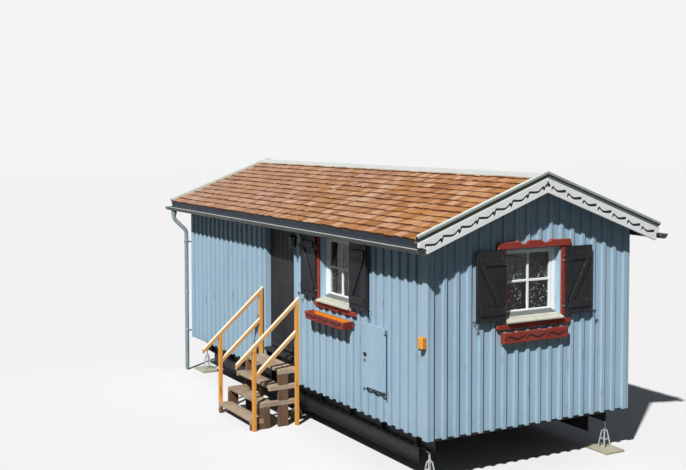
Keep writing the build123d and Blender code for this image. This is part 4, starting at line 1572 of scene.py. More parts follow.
@dataclass
class Cladding:
    """Board-and-batten cladding on the four walls, over a recessed core painted near-black as shade in the
    grooves.
    """

    shop: Shop
    board_depth: float = 0.025
    core_depth: float = 0.035
    side_groove: float = 0.014
    gable_groove: float = 0.021
    corner_width: float = 0.095
    board_lift: float = 0.012
    lap: float = 0.004
    wall_thickness: float = 0.15
    gable_first: float = 0.2695
    gable_step: float = 0.167
    gable_battens: int = 16
    nail_step: float = 0.62
    nail_foot: float = 0.05
    nail_head: float = 0.07
    lining: float = 0.011
    jamb: float = 0.012

    def core(self, node: str) -> None:
        """Copies a wall with its outer faces set back behind the boards.

        Args:
            node: The wall's node.
        """
        hut, finish = self.shop.hut, self.shop.finish
        mesh = bpy.data.meshes.new(node + "_core")
        source = bpy.data.objects[node].data
        co = np.empty(len(source.vertices) * 3)
        source.vertices.foreach_get("co", co)
        unique, inverse = np.unique(co.reshape(-1, 3).round(6), axis=0, return_inverse=True)
        inverse = inverse.ravel()
        faces = [tuple(inverse[list(p.vertices)]) for p in source.polygons]
        mesh.from_pydata(unique.tolist(), [], [f for f in faces if len(set(f)) == len(f)])
        planes = ((0, hut.near_x, -1), (0, hut.far_x, 1), (1, hut.front_y, 1), (1, hut.back_y, -1))
        for axis, plane, way in planes:
            unique[np.abs(unique[:, axis] - plane) < 1e-4, axis] += way * self.core_depth
        mesh.vertices.foreach_set("co", unique.ravel())
        # outer core faces get the near-black blue, painted shade in the grooves; inner faces get room boards
        for name in ("painted_shade_blue", "room_boards"):
            mesh.materials.append(finish[name])
        mesh.update()
        inner = self.wall_thickness
        for face in mesh.polygons:
            c, n = face.center, face.normal
            side = min(abs(c.y - hut.front_y - inner), abs(c.y - hut.back_y + inner))
            end = min(abs(c.x - hut.near_x + inner), abs(c.x - hut.far_x - inner))
            face.material_index = int((side < 1e-3 and abs(n.y) > 0.9) or (end < 1e-3 and abs(n.x) > 0.9))
        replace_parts(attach(place_object(node + "_core", mesh), "house"), node)

    def wall(self, wall: Wall) -> None:
        """Clads one wall.

        Args:
            wall: The wall.
        """
        hut, joinery, finish = self.shop.hut, self.shop.joinery, self.shop.finish["blue_paint"]

        def top(u: float) -> float:
            """Returns the height of the cladding's top."""
            return hut.roof_z(wall.across * u if wall.across else hut.front_y, -hut.deck_depth)

        battens = [(wall.start + wall.inset, wall.start + self.corner_width)]
        battens += [(e - BATTEN_WIDTH, e) for e in wall.edges]
        battens.append((wall.end - self.corner_width, wall.end - wall.inset))
        strips = [(u0, u1, 0.0, self.core_depth, hut.foot_z) for u0, u1 in battens]
        deep, foot = self.core_depth + 0.002, hut.foot_z + self.board_lift
        for before, after in zip(battens, battens[1:]):
            strips.append((before[1] + wall.groove, after[0] + self.lap, self.board_depth, deep, foot))
        boards: list[Board] = []
        nails: list[tuple] = []
        for u0, u1, d0, d1, z0 in strips:
            high = top((u0 + u1) / 2)
            slant = (top(u1) - top(u0)) / (u1 - u0)
            for a, b, low, upper in cut_round((u0, u1, z0, high), wall.holes):
                middle, reaches_top = (a + b) / 2, upper == high
                shift, lean = (top(middle) - high, slant) if reaches_top else (0.0, 0.0)
                boards.append(Board((a, d0, low), (b, d1, upper + shift), lean))
                tall = upper - low
                if d0 == 0.0 and tall > 0.3:
                    count = max(2, round(tall / self.nail_step) + 1)
                    reach = tall - self.nail_foot - self.nail_head
                    places = [low + self.nail_foot + reach * i / (count - 1) for i in range(count)]
                    nails += [(middle, -0.0005, z) for z in places]
        joinery.boards(wall.name + "_cladding", boards, finish, chamfer=0.0025, matrix=wall.matrix)
        joinery.heads(wall.name + "_nails", nails, finish, wall.matrix, radius=0.0035)

    def linings(self) -> None:
        """Lines the door and window openings with blue boards."""
        hut, piece = self.shop.hut, Piece("opening_linings")
        low, high = hut.window_low, hut.window_high
        outer, inner, deep = WINDOW_HALF, WINDOW_HALF - self.lining, SETBACK + 0.001
        for matrix in hut.windows():
            for side in SIDES:
                piece.add(box((side * outer, 0.001, low), (side * inner, deep, high)), at=matrix)
            piece.add(box((-inner, 0.001, high - self.lining), (inner, deep, high)), at=matrix)
        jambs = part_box("door_frame")
        left, right, top = jambs[0].x, jambs[1].x, jambs[1].z
        y0, y1, foot, w = hut.front_y + 0.001, jambs[0].y, hut.foot_z + 0.3, self.jamb
        piece.add(box((left, y0, foot), (left + w, y1, top)), box((right - w, y0, foot), (right, y1, top)))
        piece.add(box((left + w, y0, top - w), (right - w, y1, top)))
        piece.build(self.shop.finish["blue_paint"])

    def build(self) -> None:
        """Builds the cores, the cladding of each wall and the linings."""
        hut = self.shop.hut
        for name in ("front_wall_left", "front_wall_over_door", "front_wall_right", "back_wall"):
            self.core(name)
        for name in ("near_gable_wall", "far_gable_wall"):
            self.core(name)

        def window(u: float) -> Rect:
            """Returns the opening of the window at u."""
            return (u - WINDOW_HALF, u + WINDOW_HALF, hut.window_low, hut.window_high)

        def mirrored(edges: Sequence[float]) -> list[float]:
            """Returns the battens' edges as the opposite wall has them."""
            return [BATTEN_WIDTH - e for e in edges][::-1]

        door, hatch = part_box("door_frame"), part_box("hatch_frame")
        holes = [window(hut.front_window), (door[0].x, door[1].x, hut.foot_z, door[1].z)]
        holes.append((hatch[0].x, hatch[1].x, hatch[0].z, hatch[1].z))
        side, steps = hut.battens(), range(self.gable_battens)
        gable = [hut.front_y + self.gable_first + self.gable_step * i for i in steps]
        behind, hole = [window(-hut.front_window)], [window(hut.gable_window)]
        wide, inset = self.gable_groove, self.board_depth
        far, near, front, back = hut.far_x, hut.near_x, hut.front_y, hut.back_y
        self.wall(Wall("front", hut.front(), far, near, side, holes, self.side_groove))
        self.wall(Wall("back", hut.back(), -near, -far, mirrored(side), behind, self.side_groove))
        self.wall(Wall("gable", hut.gable(), front, back, gable, hole, wide, 1, inset))
        self.wall(Wall("far_gable", hut.far(), -back, -front, mirrored(gable), [], wide, -1, inset))
        self.linings()


@dataclass
class Roof:
    """Shingles on both slopes, and the seams of the ridge sheet."""

    shop: Shop
    courses: int = 13
    mean_width: float = 0.118
    width_spread: float = 0.042
    butt: float = 0.022
    eave_drip: float = 0.012
    verge_inset: float = 0.0325
    cap_lift: float = 0.0305
    seams_in_ridge: int = 4
    seam_half: float = 0.03

    def slope(self, name: str, turn: float, seed: int) -> None:
        """Covers one slope.

        Args:
            name: The slope's name.
            turn: 0 for the door side, half a turn for the back.
            seed: Seed of the random widths and tones.
        """
        hut, joinery = self.shop.hut, self.shop.joinery
        pitch = math.atan(hut.slope)
        reach = (hut.ridge_y - hut.eave_y) / math.cos(pitch)
        source = bpy.data.meshes.new(name)
        source.from_pydata([(0, 0, 0)], [], [])
        inputs = {
            "Shingle": joinery.shingle,
            "Length": 2 * (hut.deck_end - self.verge_inset),
            "Courses": self.courses,
            "Exposure": (reach + self.eave_drip) / self.courses,
            "Mean Width": self.mean_width,
            "Width Spread": self.width_spread,
            "Butt": self.butt,
            "Seed": seed,
            "Finish": self.shop.finish["shingle_wood"],
        }
        place = Matrix.Translation((hut.middle_x, hut.ridge_y, hut.ridge_z + 0.001))
        place = place @ Matrix.Rotation(turn, 4, "Z") @ Matrix.Rotation(pitch, 4, "X")
        joinery.rides(name, grown(source, joinery.shingle_tree, inputs), place, "house")

    def seams(self) -> None:
        """Adds the overlaps of the ridge sheet."""
        hut, piece = self.shop.hut, Piece("ridge_seams")
        low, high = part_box("ridge_cap")
        half = (high.y - low.y) / 2

        def line(lift: float, ways: Sequence[int]) -> Outline:
            """Returns the sheet's line across the ridge, at a height over the deck."""
            places = [hut.ridge_y + way * half for way in ways]
            return [(y, hut.roof_z(y, lift)) for y in places]

        outline = line(self.cap_lift - 0.004, (-1, 0, 1)) + line(self.cap_lift + 0.0015, (1, 0, -1))
        for i in range(self.seams_in_ridge):
            x = low.x + (high.x - low.x) * (i + 1) / (self.seams_in_ridge + 1)
            piece.add(prism(outline, x - self.seam_half, x + self.seam_half, "X", 0.0015))
        piece.build(self.shop.finish["ridge_sheet"])

    def build(self) -> None:
        """Builds both slopes and the seams."""
        self.slope("shingles_front", 0.0, 11)
        self.slope("shingles_back", math.pi, 23)
        self.seams()


@dataclass
class Bargeboards:
    """The white boards under the verges, each with a thin fretted board on it over dark plates of painted shade
    in its slots, and the laths above them, grey as painted shade under the verge sheets.
    """

    shop: Shop
    top_drop: float = 0.023
    depth: float = 0.165
    board: float = 0.0385
    fret: float = 0.0055
    full_reach: float = 1.705
    tip_reach: float = 1.755
    tip_height: float = 0.057
    slot: float = 0.0122
    first_notch: float = 0.055
    period: float = 0.2345
    notches: int = 8
    bridge: float = 0.008
    bridge_at: float = 0.055
    end: float = 1.688
    lath_height: float = 0.028
    lath_depth: float = 0.03
    wave: Outline = ((0.0, 0.055), (0.083, 0.091), (0.2, 0.075), (0.3, 0.065), (0.4, 0.063), (0.6, 0.078),
                     (0.8, 0.097), (0.917, 0.107), (1.0, 0.055))
    crown: Outline = ((0.0, 0.118), (0.009, 0.082), (0.032, 0.093), (0.055, 0.055))
    swell: Outline = ((0.0, 0.9), (0.1, 0.75), (0.75, 1.3), (0.9, 1.15), (1.0, 0.9))

    def share(self, places: np.ndarray) -> np.ndarray:
        """Returns how far along its wave each distance from the ridge lies."""
        return ((places - self.first_notch) / self.period) % 1.0

    def line(self, places: np.ndarray) -> np.ndarray:
        """Returns the height of the slot's middle above the board's lower edge, at distances from the ridge."""
        crown, wave = np.interp(places, *zip(*self.crown)), np.interp(self.share(places), *zip(*self.wave))
        return np.where(places < self.first_notch, crown, wave)

    def edges(self, side: int) -> tuple[np.ndarray, np.ndarray, np.ndarray]:
        """Works out the slot's two edges as a round tool would leave them.

        Args:
            side: -1 for the door side, 1 for the back, where the slot swells and thins.

        Returns:
            Distances from the ridge, and the upper and lower edges' heights there.
        """
        stops = np.arange(0.0, self.end, 0.006)
        fine = np.arange(-0.02, self.end + 0.02, 0.0015)
        swell = np.interp(self.share(fine), *zip(*self.swell)) if side > 0 else np.ones_like(fine)
        room = (self.slot * swell) ** 2 - (stops[:, None] - fine) ** 2
        reach, middle = np.sqrt(np.maximum(room, 0)), self.line(np.abs(fine))
        upper = np.where(room > 0, middle + reach, -1.0).max(1)
        lower = np.where(room > 0, middle - reach, 1.0).min(1)
        return stops, upper, lower

    def gable(self, faces: Piece, backs: Piece, slots: Piece, laths: Piece, way: int) -> None:
        """Adds the boards of one gable, whose face looks along way.

        Args:
            faces: Gets the fretted boards.
            backs: Gets the boards behind them.
            slots: Gets the dark plates that show through the slots, painted shade.
            laths: Gets the laths above, grey as painted shade under the verge sheets.
            way: -1 or 1 along X.
        """
        hut = self.shop.hut
        start = hut.middle_x + way * (hut.deck_end - hut.middle_x)
        face, front = start + way * self.board, start + way * (self.board + self.fret)
        high, low = -self.top_drop, -self.top_drop - self.depth
        full, tip = self.full_reach, self.tip_reach
        tail = hut.slope * (full - tip) - self.tip_height + high
        whole = [(0, high), (tip, high), (tip, high - self.tip_height), (full, tail), (full, low), (0, low)]
        lining = [(0, high - 0.03), (full - 0.02, high - 0.03), (full - 0.02, low + 0.012), (0, low + 0.012)]
        lath = [(0, high), (tip, high), (tip, self.lath_height), (0, self.lath_height)]
        for side in SIDES:

            def plate(points: Outline, inner: float, outer: float, chamfer: float) -> Shape:
                """Makes a plate from distances from the ridge and heights under its slope."""
                across = [(hut.ridge_y + side * t, hut.ridge_z - hut.slope * t + h) for t, h in points]
                along = (0, side * math.cos(math.atan(hut.slope)), -hut.slope)
                return prism(across, inner, outer, "X", chamfer, along)

            backs.add(plate(whole, start, face, 0.002))
            slots.add(plate(lining, face, face + way * 0.0015, 0.0003))
            laths.add(plate(lath, start, start + way * self.lath_depth, 0.001))
            stops, *edges = self.edges(side)
            upper, lower = [[(float(t), low + float(h)) for t, h in zip(stops, edge)] for edge in edges]
            foot = (upper[-1][0], low)
            faces.add(plate(whole[:5] + [foot] + upper[::-1], face, front, 0.0012))
            faces.add(plate(lower + [foot, (0, low)], face, front, 0.0012))
            for i in range(self.notches if side > 0 else 0):
                t = self.first_notch + (i - self.bridge_at) * self.period
                h = low + float(self.line(np.array([t]))[0])
                corners = ((-1, 1), (1, 1), (1, -1), (-1, -1))
                bridge = [(t + a * self.bridge, h + b * 0.03) for a, b in corners]
                faces.add(plate(bridge, face, front - way * 0.0003, 0.0008))

    def ends(self) -> None:
        """Adds dark plates at the open ends of the verge sheets, painted shade for their hollows, and the batten
        ends below them.
        """
        hut, cap = self.shop.hut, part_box("verge_caps")
        openings, battens = Piece("verge_cap_openings"), Piece("verge_batten_ends")
        for way, (side, end) in product(SIDES, ((-1, cap[0].y), (1, cap[1].y))):
            x, z = hut.middle_x + way * (hut.deck_end - hut.middle_x), hut.roof_z(end)
            corner = (x - way * 0.006, end, z + 0.012)
            openings.add(box(corner, (x + way * 0.04, end + side * 0.0012, z + 0.046), 0.001))
            low, high = (x - way * 0.045, end - side * 0.03, z - 0.036), (x, end, z - 0.001)
            battens.add(box(low, high, 0.003, Y_AXIS))
        openings.build(self.shop.finish["painted_slot_shade"])
        battens.build(self.shop.finish["brown_plank"])

    def build(self) -> None:
        """Builds the boards of both gables."""
        finish = self.shop.finish
        faces, backs = Piece("bargeboard_frets"), Piece("bargeboard_boards")
        slots, laths = Piece("bargeboard_slots"), Piece("verge_felt_edges")
        for way in SIDES:
            self.gable(faces, backs, slots, laths, way)
        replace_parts(backs.build(finish["white_paint"]), "bargeboards")
        faces.build(finish["white_paint"])
        # the slot plates and the laths are painted shade
        slots.build(finish["painted_slot_shade"])
        # the laths' grey is painted shade under the verge sheets
        laths.build(finish["verge_shade_grey"])
        self.ends()


@dataclass
class Eaves:
    """Beads, brackets and stops of the gutters, and the downpipes."""

    shop: Shop
    radius: float = 0.06
    bead: float = 0.008
    band: float = 0.004
    pipe: float = 0.033
    bend: float = 0.12
    brackets: int = 9
    gutter_length: float = 2.6
    clamp_heights: tuple[float, float] = (1.605, 0.115)
    joint_height: float = 0.75

    def trim(self) -> None:
        """Adds the rolled lips, the end stops' rims, the seams between gutter lengths and the brackets; lips,
        rims and seams are a light copy of the gutter zinc, a painted highlight.
        """
        hut, finish = self.shop.hut, self.shop.finish
        low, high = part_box("gutters")
        level, ends = hut.gutter_z, hut.deck_end
        trim, brackets = Piece("gutter_trim"), Piece("gutter_brackets")
        for side, outer in ((-1, low.y), (1, high.y)):
            lip, middle = outer - side * self.bead, outer - side * self.radius

            def hoop(x: float, reach: float, angles: np.ndarray) -> Shape:
                """Returns a thin band round the gutter."""
                arc = [(x, middle + side * math.cos(a) * reach, level - math.sin(a) * reach) for a in angles]
                return tube(arc, self.band, 6)

            bead = [(x, lip, level - 0.002) for x in (low.x, high.x)]
            trim.add(tube(bead, self.bead, 10, X_AXIS))
            joints = (low.x + self.gutter_length, low.x + 2 * self.gutter_length)
            for x in (low.x + 0.0045, *joints, high.x - 0.0045):
                trim.add(hoop(x, self.radius - 0.0025, np.linspace(0.3, math.pi - 0.05, 15)))
            for i in range(self.brackets):
                x = 0.155 - ends + i * (2 * ends - 0.275) / (self.brackets - 1)
                brackets.add(hoop(x, self.radius + 0.001, np.linspace(0.5, math.pi * 0.96, 13)))
        # the light zinc on lips, rims and seams is a painted highlight
        trim.build(finish["highlight_zinc"], smooth=40)
        brackets.build(finish["rusty_iron"], smooth=40)

    def pipes(self) -> None:
        """Builds the downpipes with their funnels, collars and clamps."""
        hut, finish = self.shop.hut, self.shop.finish["pipe_zinc"]
        gutter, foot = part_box("gutters"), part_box("downpipes")[0].z
        x, outlet, r = hut.far_x, hut.far_x - 0.082, self.pipe
        fittings = Piece("downpipe_fittings")
        sleeve = [(r + 0.001, -0.02), (r + 0.005, -0.015), (r + 0.005, 0.015), (r + 0.001, 0.02)]
        funnel = [(r + 0.001, -0.075), (r + 0.004, -0.06), (0.052, -0.012), (0.05, 0.0)]
        paths, edges = [], []
        for side, outer, wall in ((-1, gutter[0].y, hut.front_y), (1, gutter[1].y, hut.back_y)):
            mouth, y = outer - side * self.radius, wall + side * 0.085
            top = hut.gutter_z - 0.08
            elbow, knee, start = top - 0.115, top - 0.315, len(paths)
            paths += [(outlet, mouth, top + 0.03), (outlet, mouth, elbow), (x, y, knee), (x, y, foot)]
            edges += [(start + i, start + i + 1) for i in range(3)]
            fittings.add(turned(funnel, (outlet, mouth, top + 0.006), 28))
            clamps = [hut.foot_z + h for h in self.clamp_heights]
            for z in (knee - 0.17, *clamps, hut.foot_z + self.joint_height):
                fittings.add(turned(sleeve, (x, y, z), 28))
            for z in clamps:
                fittings.add(box((x - 0.011, y - side * 0.03, z - 0.012), (x + 0.011, wall, z + 0.012), 0.002))
                for lug in SIDES:
                    low, high = (x + lug * 0.034, y - 0.006, z - 0.012), (x + lug * 0.052, y + 0.006, z + 0.012)
                    fittings.add(box(low, high, 0.002))
        source = bpy.data.meshes.new("downpipe_runs")
        source.from_pydata(paths, edges, [])
        made = grown(source, self.shop.joinery.pipe_tree, {"Radius": r, "Bend": self.bend, "Finish": finish})
        smoothed(made, 40)
        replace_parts(self.shop.joinery.rides("downpipe_runs", made, None, "house"), "downpipes")
        fittings.build(finish, smooth=40)

    def build(self) -> None:
        """Builds the trim and the pipes."""
        self.trim()
        self.pipes()


@dataclass
class Windows:
    """The three windows: frames, sashes, bars, sills, casings and curtains."""

    shop: Shop
    rim: float = 0.05
    top_rim: float = 0.024
    foot_rim: float = 0.03
    depth: float = 0.06
    sash_setback: float = 0.008
    sash_depth: float = 0.044
    sash_foot: float = 0.052
    stile: float = 0.04
    foot_rail: float = 0.022
    bar: float = 0.03
    bar_at: float = 0.508
    pane: tuple[float, float] = (0.112, 0.116)
    casing: float = 0.06
    casing_thickness: float = 0.024
    head_height: float = 0.088
    head_thickness: float = 0.038
    head_half: float = 0.54
    head_lift: float = 0.008
    apron_half: float = 0.547
    apron_height: float = 0.06
    apron_drop: float = 0.06
    hollow_at: float = 0.165
    hollow_half: float = 0.075
    holdback_at: float = 0.872
    holdback_reach: float = 0.07
    sill_nose: Outline = (
        (0.001, -0.001), (-0.062, -0.022), (-0.069, -0.026), (-0.07, -0.031), (-0.07, -0.041),
        (-0.065, -0.046), (-0.048, -0.046), (-0.044, -0.042), (-0.04, -0.046), (-0.03, -0.046),
        (-0.03, -0.058), (0.001, -0.058),
    )
    sill_inside: Outline = ((SETBACK, 0.0005), (SETBACK, 0.014), (0.0, 0.002), (0.0, 0.0005))

    def sash(self, frames: Piece, bars: Piece, glass: Piece, matrix: Matrix) -> None:
        """Adds one window's frame, sash, bars and panes.

        Args:
            frames: Gets the frame and the sash.
            bars: Gets the weather bar's layers.
            glass: Gets the panes.
            matrix: From the window's frame to the hut's.
        """
        low, high = self.shop.hut.window_low, self.shop.hut.window_high
        h, a, d0, d1 = WINDOW_HALF, WINDOW_HALF - self.rim, SETBACK, SETBACK + self.depth
        top = high - self.top_rim
        frame = [
            box((-h, d0, low), (-a, d1, high), 0.004),
            box((a, d0, low), (h, d1, high), 0.004),
            box((-a, d0, top), (a, d1, high), 0.004),
            box((-a, d0, low), (a, d1, low + self.foot_rim), 0.004),
        ]
        frames.add(*frame, at=matrix)
        s0, half, edge = d0 + self.sash_setback, self.bar / 2, a - self.stile
        s1, foot = s0 + self.sash_depth, low + self.sash_foot
        glass_low, glass_high = foot + self.foot_rail, top - self.stile
        cross = glass_low + (glass_high - glass_low) * self.bar_at
        sash = [
            box((-a, s0, foot), (-edge, s1, top), 0.005),
            box((edge, s0, foot), (a, s1, top), 0.005),
            box((-edge, s0, foot), (edge, s1, glass_low), 0.005),
            box((-edge, s0, glass_high), (edge, s1, top), 0.005),
            box((-half, s0 + 0.008, glass_low), (half, s1 - 0.008, glass_high), 0.005),
        ]
        for side in SIDES:
            inner, outer = side * half, side * edge
            sash.append(box((inner, s0 + 0.009, cross - half), (outer, s1 - 0.009, cross + half), 0.005))
            for z0, z1 in ((glass_low, cross - half), (cross + half, glass_high)):
                glass.add(box((inner, self.pane[0], z0), (outer, self.pane[1], z1), 0.0005), at=matrix)
        frames.add(*sash, at=matrix)
        for inset, start, end, z0, z1, chamfer in (
            (0.012, -0.022, 0.01, 0.014, 0.028, 0.003),
            (0.03, -0.012, 0.01, 0.029, 0.042, 0.003),
            (0.05, -0.004, 0.012, 0.043, 0.051, 0.002),
        ):
            layer = box((inset - h, d0 + start, low + z0), (h - inset, d0 + end, low + z1), chamfer)
            bars.add(layer, at=matrix)

    def sill(self, piece: Piece, matrix: Matrix) -> None:
        """Adds one sill: a sloping board from the frame to a nose in front of the wall.

        Args:
            piece: Gets the sill.
            matrix: From the window's frame to the hut's.
        """
        low = self.shop.hut.window_low
        for profile, half, chamfer in ((self.sill_inside, WINDOW_HALF - 0.012, 0.001),
                                       (self.sill_nose, WINDOW_HALF + 0.008, 0.004)):
            raised = [(d, low + z) for d, z in profile]
            piece.add(prism(raised, -half, half, "X", chamfer, X_AXIS), at=matrix)

    def carved(self, half: float, low: float, high: float, depth: float) -> Outline:
        """Outlines a board with two hollows between raised shoulders.

        Args:
            half: Half its length.
            low: Its lower edge.
            high: Its upper edge.
            depth: Depth of the hollows, in the upper edge, or below zero for the lower edge.

        Returns:
            The outline.
        """
        edge = []
        for u in np.linspace(-half, half, 109):
            away = min(abs(u - self.hollow_at), abs(u + self.hollow_at)) / self.hollow_half
            hollow = abs(depth) * (1 - min(1.0, away) ** 2)
            fall = min(1.0, max(0.0, (away - 1) / 1.6)) * abs(depth) * 0.22
            if abs(u) < self.hollow_at:
                fall = 0.0
            ends = max(0.0, (abs(u) - half + 0.02) / 0.02) ** 2 * 0.012
            edge.append((float(u), max(hollow, fall) + ends))
        if depth > 0:
            return [(-half, low), (half, low)] + [(u, high - c) for u, c in edge[::-1]]
        return [(half, high), (-half, high)] + [(u, low + c) for u, c in edge]

    def trim(self, casings: Piece, heads: Piece, aprons: Piece, plugs: Piece, matrix: Matrix) -> None:
        """Adds one window's red boards.

        Args:
            casings: Gets the boards at its sides.
            heads: Gets the carved board above.
            aprons: Gets the carved board below.
            plugs: Gets the plug in the board above.
            matrix: From the window's frame to the hut's.
        """
        low, high = self.shop.hut.window_low, self.shop.hut.window_high
        start, inner, outer = high + self.head_lift, WINDOW_HALF, WINDOW_HALF + self.casing
        for side in SIDES:
            foot, top = (side * inner, -self.casing_thickness, low - 0.018), (side * outer, 0, start)
            casings.add(box(foot, top, 0.004), at=matrix)
        head = self.carved(self.head_half, start, start + self.head_height, 0.038)
        heads.add(prism(head, -self.head_thickness, 0, "Y", 0.005, X_AXIS), at=matrix)
        face, spot = -self.head_thickness, start + 0.052
        plugs.add(tube([(0, face - 0.0006, spot), (0, face + 0.01, spot)], 0.009, 14), at=matrix)
        rim = low - self.apron_drop
        apron = self.carved(self.apron_half, rim - self.apron_height, rim, -0.018)
        aprons.add(prism(apron, -self.casing_thickness, 0, "Y", 0.004, X_AXIS), at=matrix)

    def holdbacks(self, places: Sequence[Matrix]) -> None:
        """Adds the iron catches that keep the open shutters from swinging.

        Args:
            places: The frames of the windows that have shutters.
        """
        piece = Piece("shutter_holdbacks")
        reach, foot = -self.holdback_reach, self.shop.hut.window_low + 0.004
        curl = ((-0.012, 0.0, -0.012), (0.0, -0.002, 0.0), (0.016, -0.002, 0.012), (0.03, 0.0, 0.006),
                (0.034, 0.0, -0.01), (0.024, 0.0, -0.018))
        for matrix, side in product(places, SIDES):

            def spot(u: float, d: float, z: float) -> tuple[float, float, float]:
                """Returns a place beside the catch's pin."""
                return (side * (self.holdback_at + u), d, foot + z)

            piece.add(tube([spot(0, 0, 0), spot(0, reach, 0)], 0.005, 8), at=matrix)
            scroll = [spot(u, reach + d, z) for u, d, z in curl]
            piece.add(tube(scroll, [0.004, 0.007, 0.006, 0.0055, 0.0045, 0.003], 8), at=matrix)
            piece.add(tube([spot(0, reach, 0), spot(0.004, reach, -0.034)], [0.006, 0.008], 8), at=matrix)
        piece.build(self.shop.finish["black_iron"], smooth=40)

    def curtain(self, name: str, matrix: Matrix, side: int) -> bpy.types.Object:
        """Hangs one gathered net curtain behind a window.

        Args:
            name: The piece's name.
            matrix: From the window's frame to the hut's.
            side: -1 for the left one, 1 for the right one.

        Returns:
            The curtain.
        """
        margin, inner, outer, hung, folds, fold_depth = 0.028, 0.035, 0.438, 0.1593, 11, 0.0075
        rows, columns, gathering = 26, 120, 0.05
        low, high = self.shop.hut.window_low - margin, self.shop.hut.window_high + margin
        points, cloth, length, before = [], [], 0.0, None
        for j in range(columns + 1):
            share = j / columns
            u = inner + (outer - inner) * share
            fold = fold_depth * math.sin(share * 2 * math.pi * folds + 0.6 * math.sin(share * 9))
            here = (side * u, hung + fold)
            length += math.dist(before, here) if before else 0.0
            before = here
            for i in range(rows + 1):
                z = (high - low) * i / rows
                gather = 1 - gathering * math.sin(math.pi * i / rows)
                depth = hung + fold * (0.75 + 0.25 * i / rows)
                points.append((side * (outer - (outer - u) * gather), depth, low + z))
                cloth.append((length, z, 0))
        faces = []
        for j, i in product(range(columns), range(rows)):
            a = j * (rows + 1) + i
            quad = (a, a + rows + 1, a + rows + 2, a + 1)
            faces.append(quad if side > 0 else quad[::-1])
        mesh = bpy.data.meshes.new(name)
        mesh.from_pydata(points, [], faces)
        set_attribute(mesh, "cloth", cloth)
        mesh.materials.append(self.shop.finish["lace"])
        mesh.shade_smooth()
        mesh.transform(matrix)
        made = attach(place_object(name, mesh), "house")
        return made

    def build(self) -> None:
        """Builds all three windows."""
        finish, places = self.shop.finish, self.shop.hut.windows()
        frames, bars = Piece("window_frames_and_sashes"), Piece("window_weather_bars")
        glass, shaded = Piece("window_panes"), Piece("back_window_panes")
        sills, casings = Piece("window_sill_boards"), Piece("window_casing_boards")
        heads, plugs = Piece("window_head_boards"), Piece("window_head_plugs")
        aprons = Piece("window_apron_boards")
        for matrix, panes in zip(places, (glass, glass, shaded)):
            self.sash(frames, bars, panes, matrix)
            self.sill(sills, matrix)
            self.trim(casings, heads, aprons, plugs, matrix)
        for piece, look, node in (
            (frames, "white_paint", "window_frames"),
            (bars, "grey_bar", ""),
            (glass, "glass", "window_glass"),
            (shaded, "shaded_glass", "window_glass"),
            (sills, "cream_paint", "window_sills"),
            (casings, "red_paint", "window_casings"),
            (heads, "red_paint", "window_heads"),
            (aprons, "red_paint", "window_aprons"),
            (plugs, "carving_paint", ""),
        ):
            made = piece.build(finish[look])
            if node:
                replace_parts(made, node)
        self.holdbacks(places[:2])
        for label, matrix in zip(("front", "gable"), places):
            for word, side in (("left", -1), ("right", 1)):
                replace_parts(self.curtain(f"{label}_curtain_{word}", matrix, side), "window_curtains")


BARREL_HEIGHT = 0.045


def barrel(x: float, y: float, z: float) -> Shape:
    """Makes a hinge's barrel round its pintle, upright from z."""
    hole, radius = 0.0053, 0.009
    profile = [(hole, 0), (radius, 0), (radius, BARREL_HEIGHT), (hole, BARREL_HEIGHT)]
    return turned(profile, (x, y, z), 20, True)


